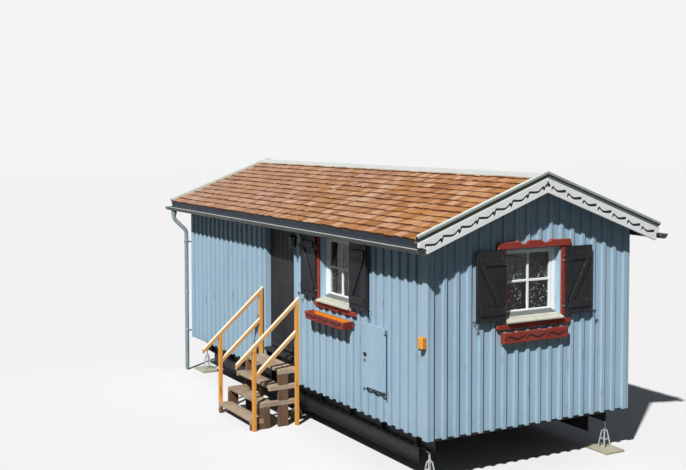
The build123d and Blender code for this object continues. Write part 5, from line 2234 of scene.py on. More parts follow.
@dataclass
class Shutter:
    """One ledged and braced shutter in its window's frame, open against the wall."""

    shop: Shop
    node: str
    matrix: Matrix
    side: int
    inner: float = 0.45
    width: float = 0.403
    back: float = -0.029
    thickness: float = 0.03
    ledge: float = 0.02
    ledge_height: float = 0.09
    ledge_inset: float = 0.028
    ledge_end: float = 0.075
    brace: float = 0.08
    boards: int = 3
    axis: float = 0.435
    hinge_at: float = 0.11

    def box(self, u: Sequence[float], d: Sequence[float], z: Sequence[float], chamfer: float) -> Shape:
        """Makes a box from its two ends in each direction, U counted away from the window's middle."""
        return box((self.side * u[0], d[0], z[0]), (self.side * u[1], d[1], z[1]), chamfer)

    def leaf(self, low: float, high: float) -> list[tuple[float, float, float]]:
        """Builds the leaf between two heights and returns the places of its nails.

        Args:
            low: Height of its lower edge.
            high: Height of its upper edge.

        Returns:
            The nails' places in the window's frame.
        """
        front = self.back - self.thickness
        face, step = front - self.ledge, self.width / self.boards
        piece = Piece(self.node + "_leaf")
        for i in range(self.boards):
            sides = (self.inner + i * step + 0.001, self.inner + (i + 1) * step - 0.001)
            piece.add(self.box(sides, (front, self.back), (low, high), 0.005), at=self.matrix, worn=False)
        # the ledges and brace keep worn edges: partly wear, partly painted highlights on their chamfers; the
        # boards stay unworn
        a, b = self.inner + self.ledge_inset, self.inner + self.width - self.ledge_inset
        ledges = (low + self.ledge_end, high - self.ledge_end - self.ledge_height)
        for z in ledges:
            piece.add(self.box((a, b), (face, front), (z, z + self.ledge_height), 0.006), at=self.matrix)
        foot, head, s = ledges[0] + self.ledge_height, ledges[1], self.side
        brace = [(s * a, foot), (s * (a + self.brace), foot), (s * b, head), (s * (b - self.brace), head)]
        along = (s * (b - a - self.brace), 0, head - foot)
        piece.add(prism(brace, face, front, "Y", 0.006, along), at=self.matrix)
        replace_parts(piece.build(self.shop.finish["black_stain"], self.node), self.node)
        nails = []
        for z, i, (du, dz) in product(ledges, range(self.boards), ((-0.02, 0.025), (0.02, 0.065))):
            nails.append((s * (self.inner + (i + 0.5) * step + du), face - 0.0005, z + dz))
        for share in (0.2, 0.5, 0.8):
            u = a + self.brace / 2 + (b - a - self.brace) * share
            nails.append((s * u, face - 0.0005, foot + (head - foot) * share))
        return nails

    def build(self) -> None:
        """Builds the leaf, its nails and its hinges."""
        low, high = self.shop.hut.window_low - 0.008, self.shop.hut.window_high
        nails, iron = self.leaf(low, high), self.shop.finish["black_iron"]
        self.shop.joinery.heads(self.node + "_nails", nails, iron, self.matrix, self.node)
        hinges = Piece(self.node + "_hinges")
        middle, front = self.back - self.thickness / 2, self.back - self.thickness
        for z in (low + self.hinge_at, high - self.hinge_at - BARREL_HEIGHT):
            top, depths = z + BARREL_HEIGHT, (middle - 0.004, middle + 0.004)
            web = self.box((self.axis + 0.0075, self.inner + 0.006), depths, (z, top), 0.001)
            ends = (self.inner - 0.003, self.inner + 0.025)
            plate = self.box(ends, (front - 0.003, front - 0.0002), (z - 0.002, top + 0.002), 0.001)
            hinges.add(barrel(self.side * self.axis, middle, z), web, plate, at=self.matrix)
        hinges.build(iron, self.node, 30)


@dataclass
class FlowerBox:
    """One red flower box with a carved front."""

    shop: Shop
    side: str
    taper: float
    leaves: bool
    wall: float = 0.015
    groove: float = 0.008
    waves: int = 3
    swing: float = 0.2
    steps: int = 24
    wave: Outline = (
        (0.0, -0.9), (0.07, 0.1), (0.18, 0.75), (0.32, 0.3), (0.5, -0.6), (0.66, -0.7), (0.8, 0.0), (0.9, 0.5),
        (1.0, 1.0),
    )

    def scroll(self, start: float, end: float, height: float, swing: float) -> Outline:
        """Draws one carved wave: a low start, a hump, a long dip and a lifted end.

        Args:
            start: Where it starts along the board.
            end: Where it ends.
            height: Height of its middle.
            swing: How far it swings up and down.

        Returns:
            Its points.
        """
        share = np.linspace(0, 1, self.steps + 1)
        rise = np.interp(share, *zip(*self.wave))
        rise[1:-1] = (rise[:-2] + 2 * rise[1:-1] + rise[2:]) / 4
        return [(start + (end - start) * float(t), height + swing * float(r)) for t, r in zip(share, rise)]

    def carving(self, half: float, depth: float, low: float, high: float, matrix: Matrix) -> None:
        """Carves the front's waves, with leaves between them if it has any.

        Args:
            half: Half the front's length.
            depth: How far the front stands out.
            low: Height of its bottom.
            high: Height of its rim.
            matrix: From its wall's frame, centred on it.
        """
        piece = Piece(self.side + "_box_carving")
        margin, tall, middle = 0.02 + self.taper * 0.7, high - low, (low + high) / 2
        unit = 2 * (half - margin) / self.waves
        shares = [k / self.steps for k in range(self.steps + 1)]
        widths = [0.0045 + self.groove * math.sin(math.pi * share) ** 0.7 for share in shares]
        for i in range(self.waves):
            a = margin - half + unit * i
            strokes = [(self.scroll(a, a + unit - 0.006, middle, tall * self.swing), widths)]
            for shift, way in ((0.1, -1), (0.42, 1), (0.72, 1)) if self.leaves else ():
                u, z = a + unit * shift, middle + way * tall * 0.05
                leaf = [(u, z), (u + 0.016, z + way * tall * 0.14), (u + 0.04, z + way * tall * 0.2)]
                strokes.append((leaf, [0.004, 0.0095, 0.003]))
            for line, radii in strokes:
                stroke = tube([(u, 0.0, z) for u, z in line], radii, 8)
                stroke.points[:, 1] = -depth - 0.0002 + stroke.points[:, 1] * 0.12
                piece.add(stroke, at=matrix)
        piece.build(self.shop.finish["carving_paint"], smooth=60)

    def build(self) -> None:
        """Builds the boards, the lining and the carving."""
        hut, finish, node = self.shop.hut, self.shop.finish, self.side + "_flower_box"
        near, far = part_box(node)
        if self.side == "front":
            matrix, half, depth = hut.front((near.x + far.x) / 2), (far.x - near.x) / 2, far.y - near.y
        else:
            matrix, half, depth = hut.gable((near.y + far.y) / 2), (far.y - near.y) / 2, far.x - near.x
        w, foot, low, high = self.wall, half - self.taper, near.z, far.z
        red = Piece(self.side + "_box_boards")
        face = [(-half, high), (-foot, low), (foot, low), (half, high)]
        red.add(prism(face, -depth, w - depth, "Y", 0.004, X_AXIS), at=matrix)
        for side in SIDES:
            corners = ((half, high), (foot, low), (foot - w, low), (half - w, high))
            end = [(side * u, z) for u, z in corners]
            red.add(prism(end, w - depth, -0.001, "Y", 0.003, Y_AXIS), at=matrix)
        red.add(box((w - half, -w, low + w), (half - w, -0.001, high - 0.004), 0.003), at=matrix)
        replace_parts(red.build(finish["red_paint"]), node)
        inside = Piece(self.side + "_box_lining")
        inside.add(box((w - foot, w - depth, low + 0.002), (foot - w, -w, low + w), 0.002), at=matrix)
        skin, rim = 0.003, 0.006 if self.leaves else 0.06
        reach, inner = half - w - 0.002 - self.taper * rim / (high - low), foot - w - 0.002
        plate = [(-reach, high - rim), (-inner, low + w), (inner, low + w), (reach, high - rim)]
        for y in (w - depth, -w - skin):
            inside.add(prism(plate, y, y + skin, "Y", 0.0005, X_AXIS), at=matrix)
        inside.build(finish["box_pine"])
        self.carving(half, depth, low, high, matrix)


@dataclass
class Door:
    """The boarded door, its frame, threshold and handle."""

    shop: Shop
    boards: int = 7
    thickness: float = 0.045
    board_depth: float = 0.03
    stile: float = 0.1
    ledge: float = 0.14
    jamb: float = 0.03
    hinge_low: float = 0.11
    plate_radius: float = 0.017
    plate_half: float = 0.077
    bar_profile: Outline = ((-0.024, 0.02), (-0.024, 0.028), (0.0, 0.05), (0.0, 0.012), (-0.012, 0.012))
    lever: tuple[tuple[float, float, float], ...] = (
        (0.0, -0.004, 0.0), (0.0, -0.036, 0.0), (-0.008, -0.046, 0.0), (-0.03, -0.048, 0.0),
        (-0.08, -0.047, -0.002), (-0.112, -0.042, -0.004),
    )

    def leaf(self) -> None:
        """Builds the boards, the frame behind them, the hinges and the weather bar."""
        finish, jambs = self.shop.finish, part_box("door_frame")
        low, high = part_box("door_leaf")
        x0, x1 = jambs[0].x + 0.035, jambs[1].x - 0.038
        y0, y1, behind = low.y, low.y + self.thickness, low.y + self.board_depth
        step, boards = (x1 - x0) / self.boards, []
        for i in range(self.boards):
            a, b = x0 + i * step + 0.001, x0 + (i + 1) * step - 0.001
            boards.append(Board((a, y0, low.z), (b, behind, high.z)))
        leaf = self.shop.joinery.boards("door_boards", boards, finish["door_stain"], "door", 0.006)
        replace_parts(leaf, "door_leaf")
        frame, left, right = Piece("door_back_frame"), x0 + self.stile, x1 - self.stile
        for a, b in ((x0, left), (right, x1)):
            frame.add(box((a, behind, low.z), (b, y1, high.z)))
        for z in (low.z, (low.z + high.z - self.ledge) / 2, high.z - self.ledge):
            frame.add(box((left, behind, z), (right, y1, z + self.ledge)))
        frame.build(finish["door_stain"], "door")
        hinges, axis = Piece("door_hinge_barrels"), x0 - 0.0025
        for z in (low.z + self.hinge_low, high.z - self.hinge_low - BARREL_HEIGHT):
            hinges.add(barrel(axis, jambs[1].y + 0.009, z))
            hinges.add(box((axis + 0.008, y1 - 0.0002, z), (x0 + 0.09, y1 + 0.007, z + BARREL_HEIGHT), 0.001))
        hinges.build(finish["black_iron"], "door", 30)
        bar = Piece("door_weather_bar")
        profile = [(y0 + d, low.z + z) for d, z in self.bar_profile]
        bar.add(prism(profile, x0 + 0.02, x1 - 0.02, "X", 0.002, X_AXIS))
        bar.build(finish["door_stain"], "door")

    def surround(self) -> None:
        """Builds the jambs and the ribbed threshold."""
        stain = self.shop.finish["door_stain"]
        low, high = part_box("door_frame")
        left, right, top = low.x + self.jamb, high.x - self.jamb, high.z - self.jamb
        jambs = Piece("door_jambs")
        for a, b in ((low.x, left), (right, high.x)):
            jambs.add(box((a, low.y, low.z), (b, high.y, high.z), 0.004))
        jambs.add(box((left, low.y, top), (right, high.y, high.z), 0.004))
        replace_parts(jambs.build(stain), "door_frame")
        low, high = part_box("door_threshold")
        bar, top = Piece("door_step_bar"), high.z - 0.001
        ribs = [(low.y, low.z), (low.y, high.z - 0.012), (low.y + 0.012, top)]
        for i in range(5):
            y = low.y + 0.03 + i * 0.012
            ribs += [(y, top), (y + 0.003, high.z - 0.004), (y + 0.006, top)]
        bar.add(prism(ribs + [(high.y, top), (high.y, low.z)], low.x, high.x, "X", 0.001, X_AXIS))
        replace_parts(bar.build(stain), "door_threshold")

    def handle(self) -> None:
        """Builds the lever handle on its long plate."""
        low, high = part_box("door_handle")
        r, x, y, z = self.plate_radius, high.x - 0.018, high.y, (low.z + high.z) / 2
        piece, plate = Piece("door_handle_set"), []
        for a in np.linspace(0, 2 * math.pi, 25)[:-1]:
            middle = z + (self.plate_half if math.sin(a) > 0 else -self.plate_half)
            plate.append((x + r * math.cos(a), middle + r * math.sin(a)))
        piece.add(prism(plate, y - 0.008, y, "Y", 0.002))
        lever = [(x + u, y + d, z + h) for u, d, h in self.lever]
        piece.add(tube(lever, [0.009, 0.008, 0.008, 0.0075, 0.0065, 0.006], 14))
        lying = Matrix.Translation((x, y - 0.011, z)) @ Matrix.Rotation(math.pi / 2, 4, "X")
        piece.add(turned([(0.0115, -0.003), (0.0115, 0.003)], (0, 0, 0), 18), at=lying)
        piece.add(tube([(x, y - 0.0095, z - 0.055), (x, y - 0.007, z - 0.055)], 0.007, 16))
        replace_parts(piece.build(self.shop.finish["black_iron"], "door", 35), "door_handle")

    def build(self) -> None:
        """Builds the leaf, its surround and its handle."""
        self.leaf()
        self.surround()
        self.handle()


@dataclass
class Hatch:
    """The small hatch, boarded and battened like the wall, with its strap, knuckle and latch."""

    shop: Shop
    overlap: float = 0.03
    stile: float = 0.05
    lift: float = 0.033
    thickness: float = 0.025
    strap_bolts: tuple[float, ...] = (0.03, 0.14, 0.25, 0.345)

    def leaf(self, x0: float, x1: float, z0: float, z1: float, face: float) -> None:
        """Builds the leaf: a board, its battens and the raised fields between them.

        Args:
            x0: Its left edge.
            x1: Its right edge.
            z0: Its lower edge.
            z1: Its upper edge.
            face: Where the battens' faces are along Y.
        """
        back, width = face + self.thickness, BATTEN_WIDTH
        boards = [Board((x0, back - 0.01, z0), (x1, back, z1))]
        edges = [e for e in self.shop.hut.battens() if e - width > x0 + 0.02 and e < x1 - 0.01]
        battens = [(x0, x0 + self.stile)] + [(e - width, e) for e in edges] + [(x1 - self.stile, x1)]
        for a, b in battens:
            boards.append(Board((a, face, z0), (b, back - 0.008, z1)))
        for (_, a), (b, _) in zip(battens, battens[1:]):
            if b - a > 0.02:
                boards.append(Board((a + 0.005, face + 0.011, z0), (b, back - 0.008, z1)))
        finish = self.shop.finish["blue_paint"]
        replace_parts(self.shop.joinery.boards("hatch_boards", boards, finish, "hatch", 0.0025), "hatch_door")

    def build(self) -> None:
        """Builds the leaf, the strap, the knuckle and the latch."""
        low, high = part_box("hatch_frame")
        x0, x1 = low.x - self.overlap, high.x + self.overlap
        z0, z1 = low.z - self.overlap, high.z + self.overlap
        finish, face = self.shop.finish, self.shop.hut.front_y - self.lift
        self.leaf(x0, x1, z0, z1, face)
        strap, painted = Piece("hatch_strap"), Piece("hatch_knuckle")
        middle, axis = z0 + BARREL_HEIGHT / 2, x1 + 0.012
        blade = [(x1 - 0.4, 0.003), (x1 - 0.385, 0.012), (x1 - 0.365, 0.006), (axis - 0.008, 0.013)]
        outline = [(x, middle - h) for x, h in blade] + [(x, middle + h) for x, h in blade[::-1]]
        strap.add(prism(outline, face - 0.006, face, "Y", 0.001, X_AXIS))
        for x in [x1 - u for u in self.strap_bolts]:
            strap.add(tube([(x, face - 0.011, middle), (x, face - 0.004, middle)], [0.006, 0.009], 10))
        for z, piece in ((z0, strap), (z1 - BARREL_HEIGHT, painted)):
            piece.add(barrel(axis, face - 0.009, z))
        strap.build(finish["black_iron"], "hatch", 35)
        painted.build(finish["blue_paint"], "hatch", 35)
        latch = Piece("hatch_latch")
        x, z = x0 + 0.085, z0 + 0.42
        latch.add(box((x - 0.03, face - 0.004, z - 0.02), (x + 0.03, face, z + 0.02), 0.001))
        latch.add(tube([(x - 0.02, face - 0.008, z), (x + 0.035, face - 0.008, z)], 0.005, 10))
        latch.add(box((x - 0.012, face - 0.005, z - 0.085), (x + 0.008, face, z - 0.06), 0.001))
        latch.add(tube([(x - 0.002, face - 0.012, z - 0.07), (x - 0.002, face - 0.003, z - 0.07)], 0.008, 12))
        latch.build(finish["black_iron"], "hatch", 35)


@dataclass
class Lantern:
    """The black six-sided wall lantern."""

    shop: Shop
    reach: float = 0.125
    cage_height: float = 0.14
    cage_foot: float = 0.041
    cage_head: float = 0.057
    tray: Outline = ((0.012, 0.0), (0.044, 0.006), (0.044, 0.013), (0.04, 0.016))
    hood: Outline = (
        (0.062, -0.002), (0.062, 0.004), (0.045, 0.02), (0.026, 0.034), (0.02, 0.044), (0.01, 0.05),
        (0.009, 0.058),
    )
    holder: Outline = ((0.013, 0.0), (0.026, 0.006), (0.026, 0.018), (0.012, 0.024))
    plate: Outline = (
        (-0.03, 0.0), (0.03, 0.0), (0.04, 0.02), (0.04, 0.1), (0.03, 0.12), (-0.03, 0.12), (-0.04, 0.1),
        (-0.04, 0.02),
    )
    arm: Outline = ((-0.008, -0.1), (-0.03, -0.112), (-0.06, -0.1), (-0.07, -0.06), (-0.068, -0.01))

    def build(self) -> None:
        """Builds the plate, arm, cage, roof and panes."""
        low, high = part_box("wall_lamp")
        wall, finish = self.shop.hut.front_y, self.shop.finish
        x, y, foot = (low.x + high.x) / 2, wall - self.reach, low.z
        eaves = foot + self.cage_height
        iron = Piece("lantern_ironwork")

        def corner(k: int, r: float, z: float) -> tuple[float, float, float]:
            """Returns a corner of the cage."""
            angle = math.pi / 3 * k
            return (x + r * math.cos(angle), y + r * math.sin(angle), z)

        for k in range(6):
            iron.add(tube([corner(k, self.cage_foot, foot + 0.012), corner(k, self.cage_head, eaves)], 0.004, 6))
            for r, z in ((self.cage_foot, foot + 0.012), (self.cage_head, eaves - 0.002)):
                iron.add(tube([corner(k, r, z), corner(k + 1, r, z)], 0.004, 6))
        iron.add(turned(self.tray, (x, y, foot), 6))
        iron.add(turned(self.hood, (x, y, eaves), 6))
        iron.add(turned(self.holder, (x, y, foot + 0.016), 14))
        plate = [(x + a, eaves - 0.12 + b) for a, b in self.plate]
        iron.add(prism(plate, wall - 0.012, wall, "Y", 0.003))
        arm = [(x, wall + d, eaves + z) for d, z in self.arm]
        iron.add(tube(arm, 0.006, 10))
        iron.add(tube([arm[-1], (x, y, eaves + 0.002)], 0.005, 10))
        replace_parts(iron.build(finish["black_iron"], smooth=30), "wall_lamp")
        panes = Piece("lantern_panes")
        (r0, z0), (r1, z1) = (0.039, foot + 0.018), (0.0545, eaves - 0.005)
        for k in range(6):
            quad = np.array([corner(k, r0, z0), corner(k + 1, r0, z0), corner(k + 1, r1, z1), corner(k, r1, z1)])
            way = quad.mean(0) - np.array([x, y, 0])
            way[2] = 0
            points = np.concatenate([quad - way / np.linalg.norm(way) * 0.002, quad])
            faces = [(3, 2, 1, 0), (4, 5, 6, 7)] + [(i, (i + 1) % 4, 4 + (i + 1) % 4, 4 + i) for i in range(4)]
            panes.add(Shape(points, faces, [False] * 6))
        panes.build(finish["shaded_glass"])


@dataclass
class SocketBox:
    """The yellow socket box by the near corner, left bare of writing."""

    shop: Shop
    lid_height: float = 0.02
    front_depth: float = 0.03

    def build(self) -> None:
        """Builds the housing, its side and its lid."""
        low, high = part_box("yellow_box")
        x0, x1, y0, finish = low.x, high.x, low.y, self.shop.finish
        split, seam = low.z + self.lid_height, low.y + self.front_depth
        front = Piece("socket_box_front")
        front.add(box((x0, y0, split), (x1, seam, high.z), 0.006))
        front.add(box((x0 + 0.012, y0 - 0.0005, split + 0.07), (x1 - 0.012, y0 + 0.004, high.z - 0.014)))
        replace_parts(front.build(finish["yellow_plastic"]), "yellow_box")
        back = Piece("socket_box_back")
        back.add(box((x0 + 0.001, seam + 0.0005, split), (x1 - 0.001, high.y, high.z - 0.001), 0.005))
        back.build(finish["orange_plastic"])
        lid = Piece("socket_box_lid")
        lid.add(box((x0 + 0.006, y0 + 0.006, low.z), (x1 - 0.006, high.y, split - 0.0005)))
        rim = (x1 - 0.0006, seam + 0.0008, high.z - 0.003)
        lid.add(box((x0 + 0.001, seam - 0.0002, split + 0.003), rim, 0.0003))
        lid.build(finish["black_plastic"])


@dataclass
class Underframe:
    """The steel channels, the lower panel and the stands on their planks."""

    shop: Shop
    flange: float = 0.009
    lower: float = 0.2
    inset: float = 0.325
    spread: float = 0.055
    gathered: float = 0.022
    pitch: float = 0.004

    def channel(self, ends: tuple, y: float, way: int, levels: Sequence[float], width: float) -> Shape:
        """Makes a channel whose open side faces along way.

        Args:
            ends: Its two ends along X.
            y: The outer face of its web.
            way: -1 or 1, the side that its flanges point to.
            levels: Its lower and its upper face.
            width: How wide its flanges are.

        Returns:
            The channel.
        """
        (z0, z1), t, outer = levels, self.flange, y + way * width
        half = [(y, z0), (outer, z0), (outer, z0 + t), (y + way * t, z0 + t * 1.3)]
        profile = half + [(u, z1 - (z - z0)) for u, z in half[::-1]]
        return prism(profile, *ends, "X", 0.001, X_AXIS)

    def build(self) -> None:
        """Builds the beams and the stands."""
        finish = self.shop.finish
        low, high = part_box("chassis_beams")
        whole, short = (low.x, high.x), (low.x + self.inset, high.x - self.inset)
        beams, edges, split = Piece("chassis_channels"), Piece("chassis_flange_edges"), low.z + self.lower
        for side, outer in ((-1, low.y), (1, high.y)):
            beams.add(self.channel(whole, outer - side * 0.07, side, (split, high.z), 0.07))
            beams.add(self.channel(short, outer - side * 0.065, side, (low.z, split), 0.06))
            for i in range(9):
                x = low.x + 0.3 + i * (high.x - low.x - 0.6) / 8
                foot = (x - 0.004, outer - side * 0.066, split + 0.01)
                beams.add(box(foot, (x + 0.004, outer - side * 0.004, high.z - 0.01), 0.001))
            # light strips along the flange edges: painted highlight with some dust, on the same steel as the
            # channels
            for (x0, x1), y, levels in (
                (whole, outer, (split, high.z - self.flange)),
                (short, outer - side * 0.005, (low.z, split - self.flange)),
            ):
                for z in levels:
                    edge = ((x0 + 0.001, y - side * 0.004, z), (x1 - 0.001, y, z + self.flange))
                    edges.add(box(*edge, 0.001))
        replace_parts(beams.build(finish["black_steel"]), "chassis_beams")
        edges.build(finish["dust_and_highlight_steel"])
        self.stands(low.z, split)

    def stand(self, steel: Piece, x: float, y: float, foot: float, top: float) -> None:
        """Adds one stand: angle legs on pads, braces, plates and a threaded post with its nut.

        Args:
            steel: Gets the stand.
            x: Its middle along X.
            y: Its middle along Y.
            foot: Height of the planks under it.
            top: Height of the beam on it.
        """
        crown = top - (top - foot) * 0.35
        for sx, sy in product(SIDES, repeat=2):
            leg_x, leg_y = x + sx * self.spread, y + sy * self.spread
            head = (x + sx * self.gathered, y + sy * self.gathered, crown - 0.004)
            steel.add(tube([(leg_x, leg_y, foot), head], 0.0085, 8))
            pad = (leg_x + 0.014, leg_y + 0.014, foot + 0.004)
            steel.add(box((leg_x - 0.014, leg_y - 0.014, foot), pad, 0.001))
        for z in (crown, top):
            steel.add(box((x - 0.03, y - 0.03, z - 0.01), (x + 0.03, y + 0.03, z), 0.002))
        thread = []
        for k in range(int((top - crown - 0.01) / self.pitch)):
            thread += [(0.0115, k * self.pitch), (0.014, k * self.pitch + 0.002)]
        steel.add(turned(thread, (x, y, crown), 14))
        steel.add(turned([(0.024, 0), (0.024, 0.018)], (x, y, crown + 0.004), 6))
        middle, reach = (foot + crown) / 2, 0.039
        for side in SIDES:
            out = side * reach
            steel.add(tube([(x + out, y - reach, middle), (x + out, y + reach, middle)], 0.005, 6))
            steel.add(tube([(x - reach, y + out, middle), (x + reach, y + out, middle)], 0.005, 6))

    def stands(self, beam_foot: float, split: float) -> None:
        """Builds the six stands and the two planks under each.

        Args:
            beam_foot: The lower beams' underside, which the middle stands reach.
            split: The upper beams' underside, which the others reach.
        """
        finish = self.shop.finish
        low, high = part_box("support_stands")
        steel, planks = Piece("stand_steel"), Piece("stand_planks")
        foot, ends = low.z + 0.03, (low.x + 0.2, high.x - 0.2)
        for y, i in product((low.y + 0.15, high.y - 0.15), range(3)):
            x = ends[0] + i * (ends[1] - ends[0]) / 2
            for y0, y1 in ((y - 0.15, y - 0.002), (y + 0.002, y + 0.15)):
                planks.add(box((x - 0.2, y0, low.z), (x + 0.2, y1, foot), 0.004, X_AXIS))
            self.stand(steel, x, y, foot, beam_foot if i == 1 else split)
        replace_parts(steel.build(finish["galvanised"], smooth=30), "support_stands")
        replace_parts(planks.build(finish["pale_plank"]), "support_stands")


@dataclass
class Steps:
    """The weathered steps with their sides, and the pine posts and rails."""

    shop: Shop
    count: int = 4
    rise: float = 0.21
    going: float = 0.137
    top_depth: float = 0.29
    tread_depth: float = 0.19
    tread: float = 0.042
    side: float = 0.05
    side_height: float = 0.07
    rail: float = 0.067
    post: float = 0.05
    slope: float = 0.89
    middle_drop: float = 0.41

    def level(self, i: int, top: float) -> tuple[float, float]:
        """Returns where step i's front edge is and how high its top lies."""
        return self.shop.hut.front_y - self.top_depth - i * self.going, top - i * self.rise

    def build(self) -> None:
        """Builds the treads, sides, posts and rails."""
        wall, finish = self.shop.hut.front_y, self.shop.finish
        low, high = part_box("step_treads")
        x0, x1, boards = low.x, high.x, []
        for i in range(self.count):
            front, top = self.level(i, high.z)
            back, rows = (wall, 3) if i == 0 else (front + self.tread_depth, 2)
            step = (back - front) / rows
            for k in range(rows):
                foot = (x0 + 0.001, front + k * step + 0.002, top - self.tread + 0.002 * (k % 2))
                boards.append(Board(foot, (x1 - 0.001, front + (k + 1) * step - 0.002, top)))
        treads = self.shop.joinery.boards("tread_planks", boards, finish["plank"], chamfer=0.006, along=X_AXIS)
        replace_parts(treads, "step_treads")
        sides, uprights = Piece("step_side_rails"), Piece("step_uprights")
        for a in (x0 - self.side, x1):
            b = a + self.side
            for i in range(self.count):
                front, top = self.level(i, high.z)
                back = front + self.tread_depth if i == self.count - 1 else wall
                sides.add(box((a, front, top - self.side_height), (b, back, top), 0.006))
            for i, width in ((0, 0.15), (2, 0.15), (3, 0.05)):
                front, top = self.level(i, high.z)
                head = (b - 0.001, front + width, top - self.side_height)
                uprights.add(box((a + 0.001, front + 0.001, 0.0), head, 0.005))
        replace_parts(sides.build(finish["plank"]), "step_sides")
        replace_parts(uprights.build(finish["brown_plank"]), "step_sides")
        self.rails()

    def rails(self) -> None:
        """Builds the posts and the sloping rails, with their bolts."""
        wall, finish, p, r = self.shop.hut.front_y, self.shop.finish, self.post, self.rail
        low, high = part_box("step_posts")
        rail_low, rail_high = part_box("step_rails")
        upper, middle = rail_high.z, rail_high.z - self.middle_drop
        posts, rails, bolts = Piece("rail_posts"), Piece("rail_boards"), []

        def line(y: float, start: float) -> float:
            """Returns the height of a sloping line at y."""
            return start + (y - wall) * self.slope

        for x in (low.x, high.x - p):
            for y in (low.y, wall - p):
                head = [(y + p, line(y + p, upper) - r), (y, line(y, upper) - r)]
                posts.add(prism([(y, 0.0), (y + p, 0.0)] + head, x, x + p, "X", 0.004))
            for y0, y1, start in ((rail_low.y, wall, upper), (low.y + p, wall - p, middle)):
                top = [(y0, line(y0, start)), (y1, line(y1, start))]
                outline = top + [(y, z - r) for y, z in top[::-1]]
                rails.add(prism(outline, x, x + p, "X", 0.005, (0, 1, self.slope)))
            for y in (low.y + p / 2, wall - p / 2):
                bolts += [(y, 0.0, line(y, upper) - r - 0.03), (y, 0.0, line(y, middle) - 0.035)]
        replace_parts(posts.build(finish["pine"]), "step_posts")
        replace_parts(rails.build(finish["rail_pine"]), "step_rails")
        side = Matrix.Translation((high.x + 0.0005, 0, 0)) @ Matrix.Rotation(math.pi / 2, 4, "Z")
        self.shop.joinery.heads("rail_bolts", bolts, finish["galvanised"], side, "house", 0.006)


@dataclass
class Inside:
    """What shows through the openings, and the nodes that keep their CAD shape."""

    shop: Shop
    planks: int = 20
    plank: float = 0.012
    kept: tuple[tuple[str, str], ...] = (
        ("chassis_cross_members", "black_steel"),
        ("roof_deck_front", "deck"),
        ("roof_deck_back", "deck"),
        ("ridge_cap", "ridge_sheet"),
        ("verge_caps", "verge_sheet"),
        ("eave_aprons", "slate_sheet"),
        # the gutters' dark zinc is painted shade and painted dark reflection
        ("gutters", "zinc"),
        ("hatch_frame", "blue_lining"),
        ("hinge_pintles", "pipe_zinc"),
    )

    def build(self) -> None:
        """Lays the floor boards over the floor slab and dresses the nodes that stay."""
        finish = self.shop.finish
        low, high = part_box("floor")
        boards, step, under = [], (high.y - low.y) / self.planks, high.z - self.plank
        for i in range(self.planks):
            foot = (low.x, low.y + i * step + 0.001, under)
            boards.append(Board(foot, (high.x, low.y + (i + 1) * step - 0.001, high.z)))
        self.shop.joinery.boards("floor_planks", boards, finish["room_boards"], chamfer=0.002, along=X_AXIS)
        slab = Piece("floor_slab")
        slab.add(box((low.x, low.y, low.z), (high.x, high.y, under - 0.0005), 0.002))
        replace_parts(slab.build(finish["black_steel"]), "floor")
        for node, name in self.kept:
            mesh = bpy.data.objects[node].data
            mesh.materials.clear()
            mesh.materials.append(finish[name])


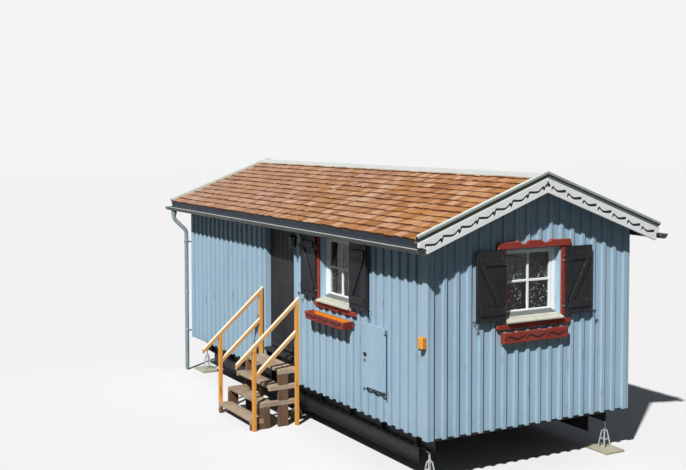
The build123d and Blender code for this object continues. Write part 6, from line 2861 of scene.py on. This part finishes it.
@dataclass
class Studio:
    """Camera, sun, sky, floor and backdrop."""

    place: tuple[float, float, float] = (13.2706, -7.7093, 3.9779)
    heading: float = math.radians(60.70)
    pitch: float = -0.048
    roll: float = -0.0014
    lens: float = 56.06
    shift: float = -0.075
    sun: tuple[float, float, float] = (0.45, -0.57, 0.69)
    sun_strength: float = 4.5
    sun_size: float = 1.4
    sky: Colour = (226, 236, 248)
    sky_strength: float = 0.1
    backdrop: Colour = (243, 244, 245)
    floor_seen: Colour = (236, 235, 235)
    floor_bounce: Colour = (90, 90, 88)
    floor_half: float = 90.0

    def camera(self, scene: bpy.types.Scene) -> None:
        """Sets up the camera that sees the part as the photo does.

        Args:
            scene: The scene.
        """
        camera = bpy.data.objects.new("camera", bpy.data.cameras.new("camera"))
        camera.data.lens = self.lens
        camera.data.sensor_width = 36
        camera.data.shift_y = self.shift
        camera.data.clip_end = 300
        turn = Matrix.Rotation(self.heading, 4, "Z") @ Matrix.Rotation(math.pi / 2 + self.pitch, 4, "X")
        camera.matrix_world = Matrix.Translation(self.place) @ turn @ Matrix.Rotation(self.roll, 4, "Z")
        scene.collection.objects.link(camera)
        scene.camera = camera

    def seen(self, graph: Graph) -> Value:
        """Masks the rays that show a surface itself, rather than the light it gives."""
        path = graph.node("ShaderNodeLightPath").outputs
        mask = graph.math("MAXIMUM", path["Is Camera Ray"], path["Is Transmission Ray"])
        return graph.math("MAXIMUM", mask, path["Is Glossy Ray"])

    def lights(self, scene: bpy.types.Scene) -> None:
        """Sets up the sun and a sky that lights softly before a pale backdrop.

        Args:
            scene: The scene.
        """
        lamp = bpy.data.objects.new("sun", bpy.data.lights.new("sun", "SUN"))
        lamp.data.energy = self.sun_strength
        lamp.data.angle = math.radians(self.sun_size)
        lamp.rotation_euler = Vector(self.sun).to_track_quat("Z", "Y").to_euler()
        scene.collection.objects.link(lamp)
        world = bpy.data.worlds.new("studio")
        world.use_nodes = True
        world.node_tree.nodes.clear()
        graph = Graph(world.node_tree)
        seen = self.seen(graph)
        soft = graph.node("ShaderNodeBackground", {0: linear(self.sky), 1: self.sky_strength})
        pale = graph.node("ShaderNodeBackground", {0: linear(self.backdrop), 1: 1.0})
        both = graph.node("ShaderNodeMixShader", {0: seen, 1: soft.outputs[0], 2: pale.outputs[0]})
        graph.link(both.outputs[0], graph.node("ShaderNodeOutputWorld"), 0)
        scene.world = world

    def floor(self) -> None:
        """Lays the studio's floor."""
        mesh, half = bpy.data.meshes.new("studio_floor"), self.floor_half
        corners = [(-half, -half, 0), (half, -half, 0), (half, half, 0), (-half, half, 0)]
        mesh.from_pydata(corners, [], [(0, 1, 2, 3)])
        material = bpy.data.materials.new("studio_floor")
        material.use_nodes = True
        graph, shader = Graph(material.node_tree), material.node_tree.nodes["Principled BSDF"]
        colour = graph.mix(self.seen(graph), linear(self.floor_bounce), linear(self.floor_seen))
        graph.link(colour, shader, "Base Color")
        shader.inputs["Roughness"].default_value = 0.95
        shader.inputs["Specular IOR Level"].default_value = 0.0
        mesh.materials.append(material)
        place_object("studio_floor", mesh)

    def build(self) -> None:
        """Builds the studio."""
        scene = bpy.context.scene
        scene.view_settings.view_transform = "Standard"
        self.camera(scene)
        self.lights(scene)
        self.floor()


def main() -> None:
    """Loads the frame and builds every sub-assembly in order."""
    logging.basicConfig(level=logging.INFO, format="%(message)s", stream=sys.stdout)
    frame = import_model()
    effects = Effects()
    shop = Shop(Hut.measured(), Joinery(), {finish.name: finish.material(effects) for finish in PALETTE})
    hut = shop.hut
    Studio().build()
    for part in (Cladding, Roof, Bargeboards, Eaves, Windows):
        part(shop).build()
    for word, side in (("left", -1), ("right", 1)):
        Shutter(shop, f"front_shutter_{word}", hut.front(hut.front_window), side).build()
        Shutter(shop, f"gable_shutter_{word}", hut.gable(hut.gable_window), side).build()
    FlowerBox(shop, "front", 0.035, True).build()
    FlowerBox(shop, "gable", 0.0, False).build()
    for part in (Door, Hatch, Lantern, SocketBox, Underframe, Steps, Inside):
        part(shop).build()
    shop.joinery.clear()


if __name__ == "__main__":
    main()
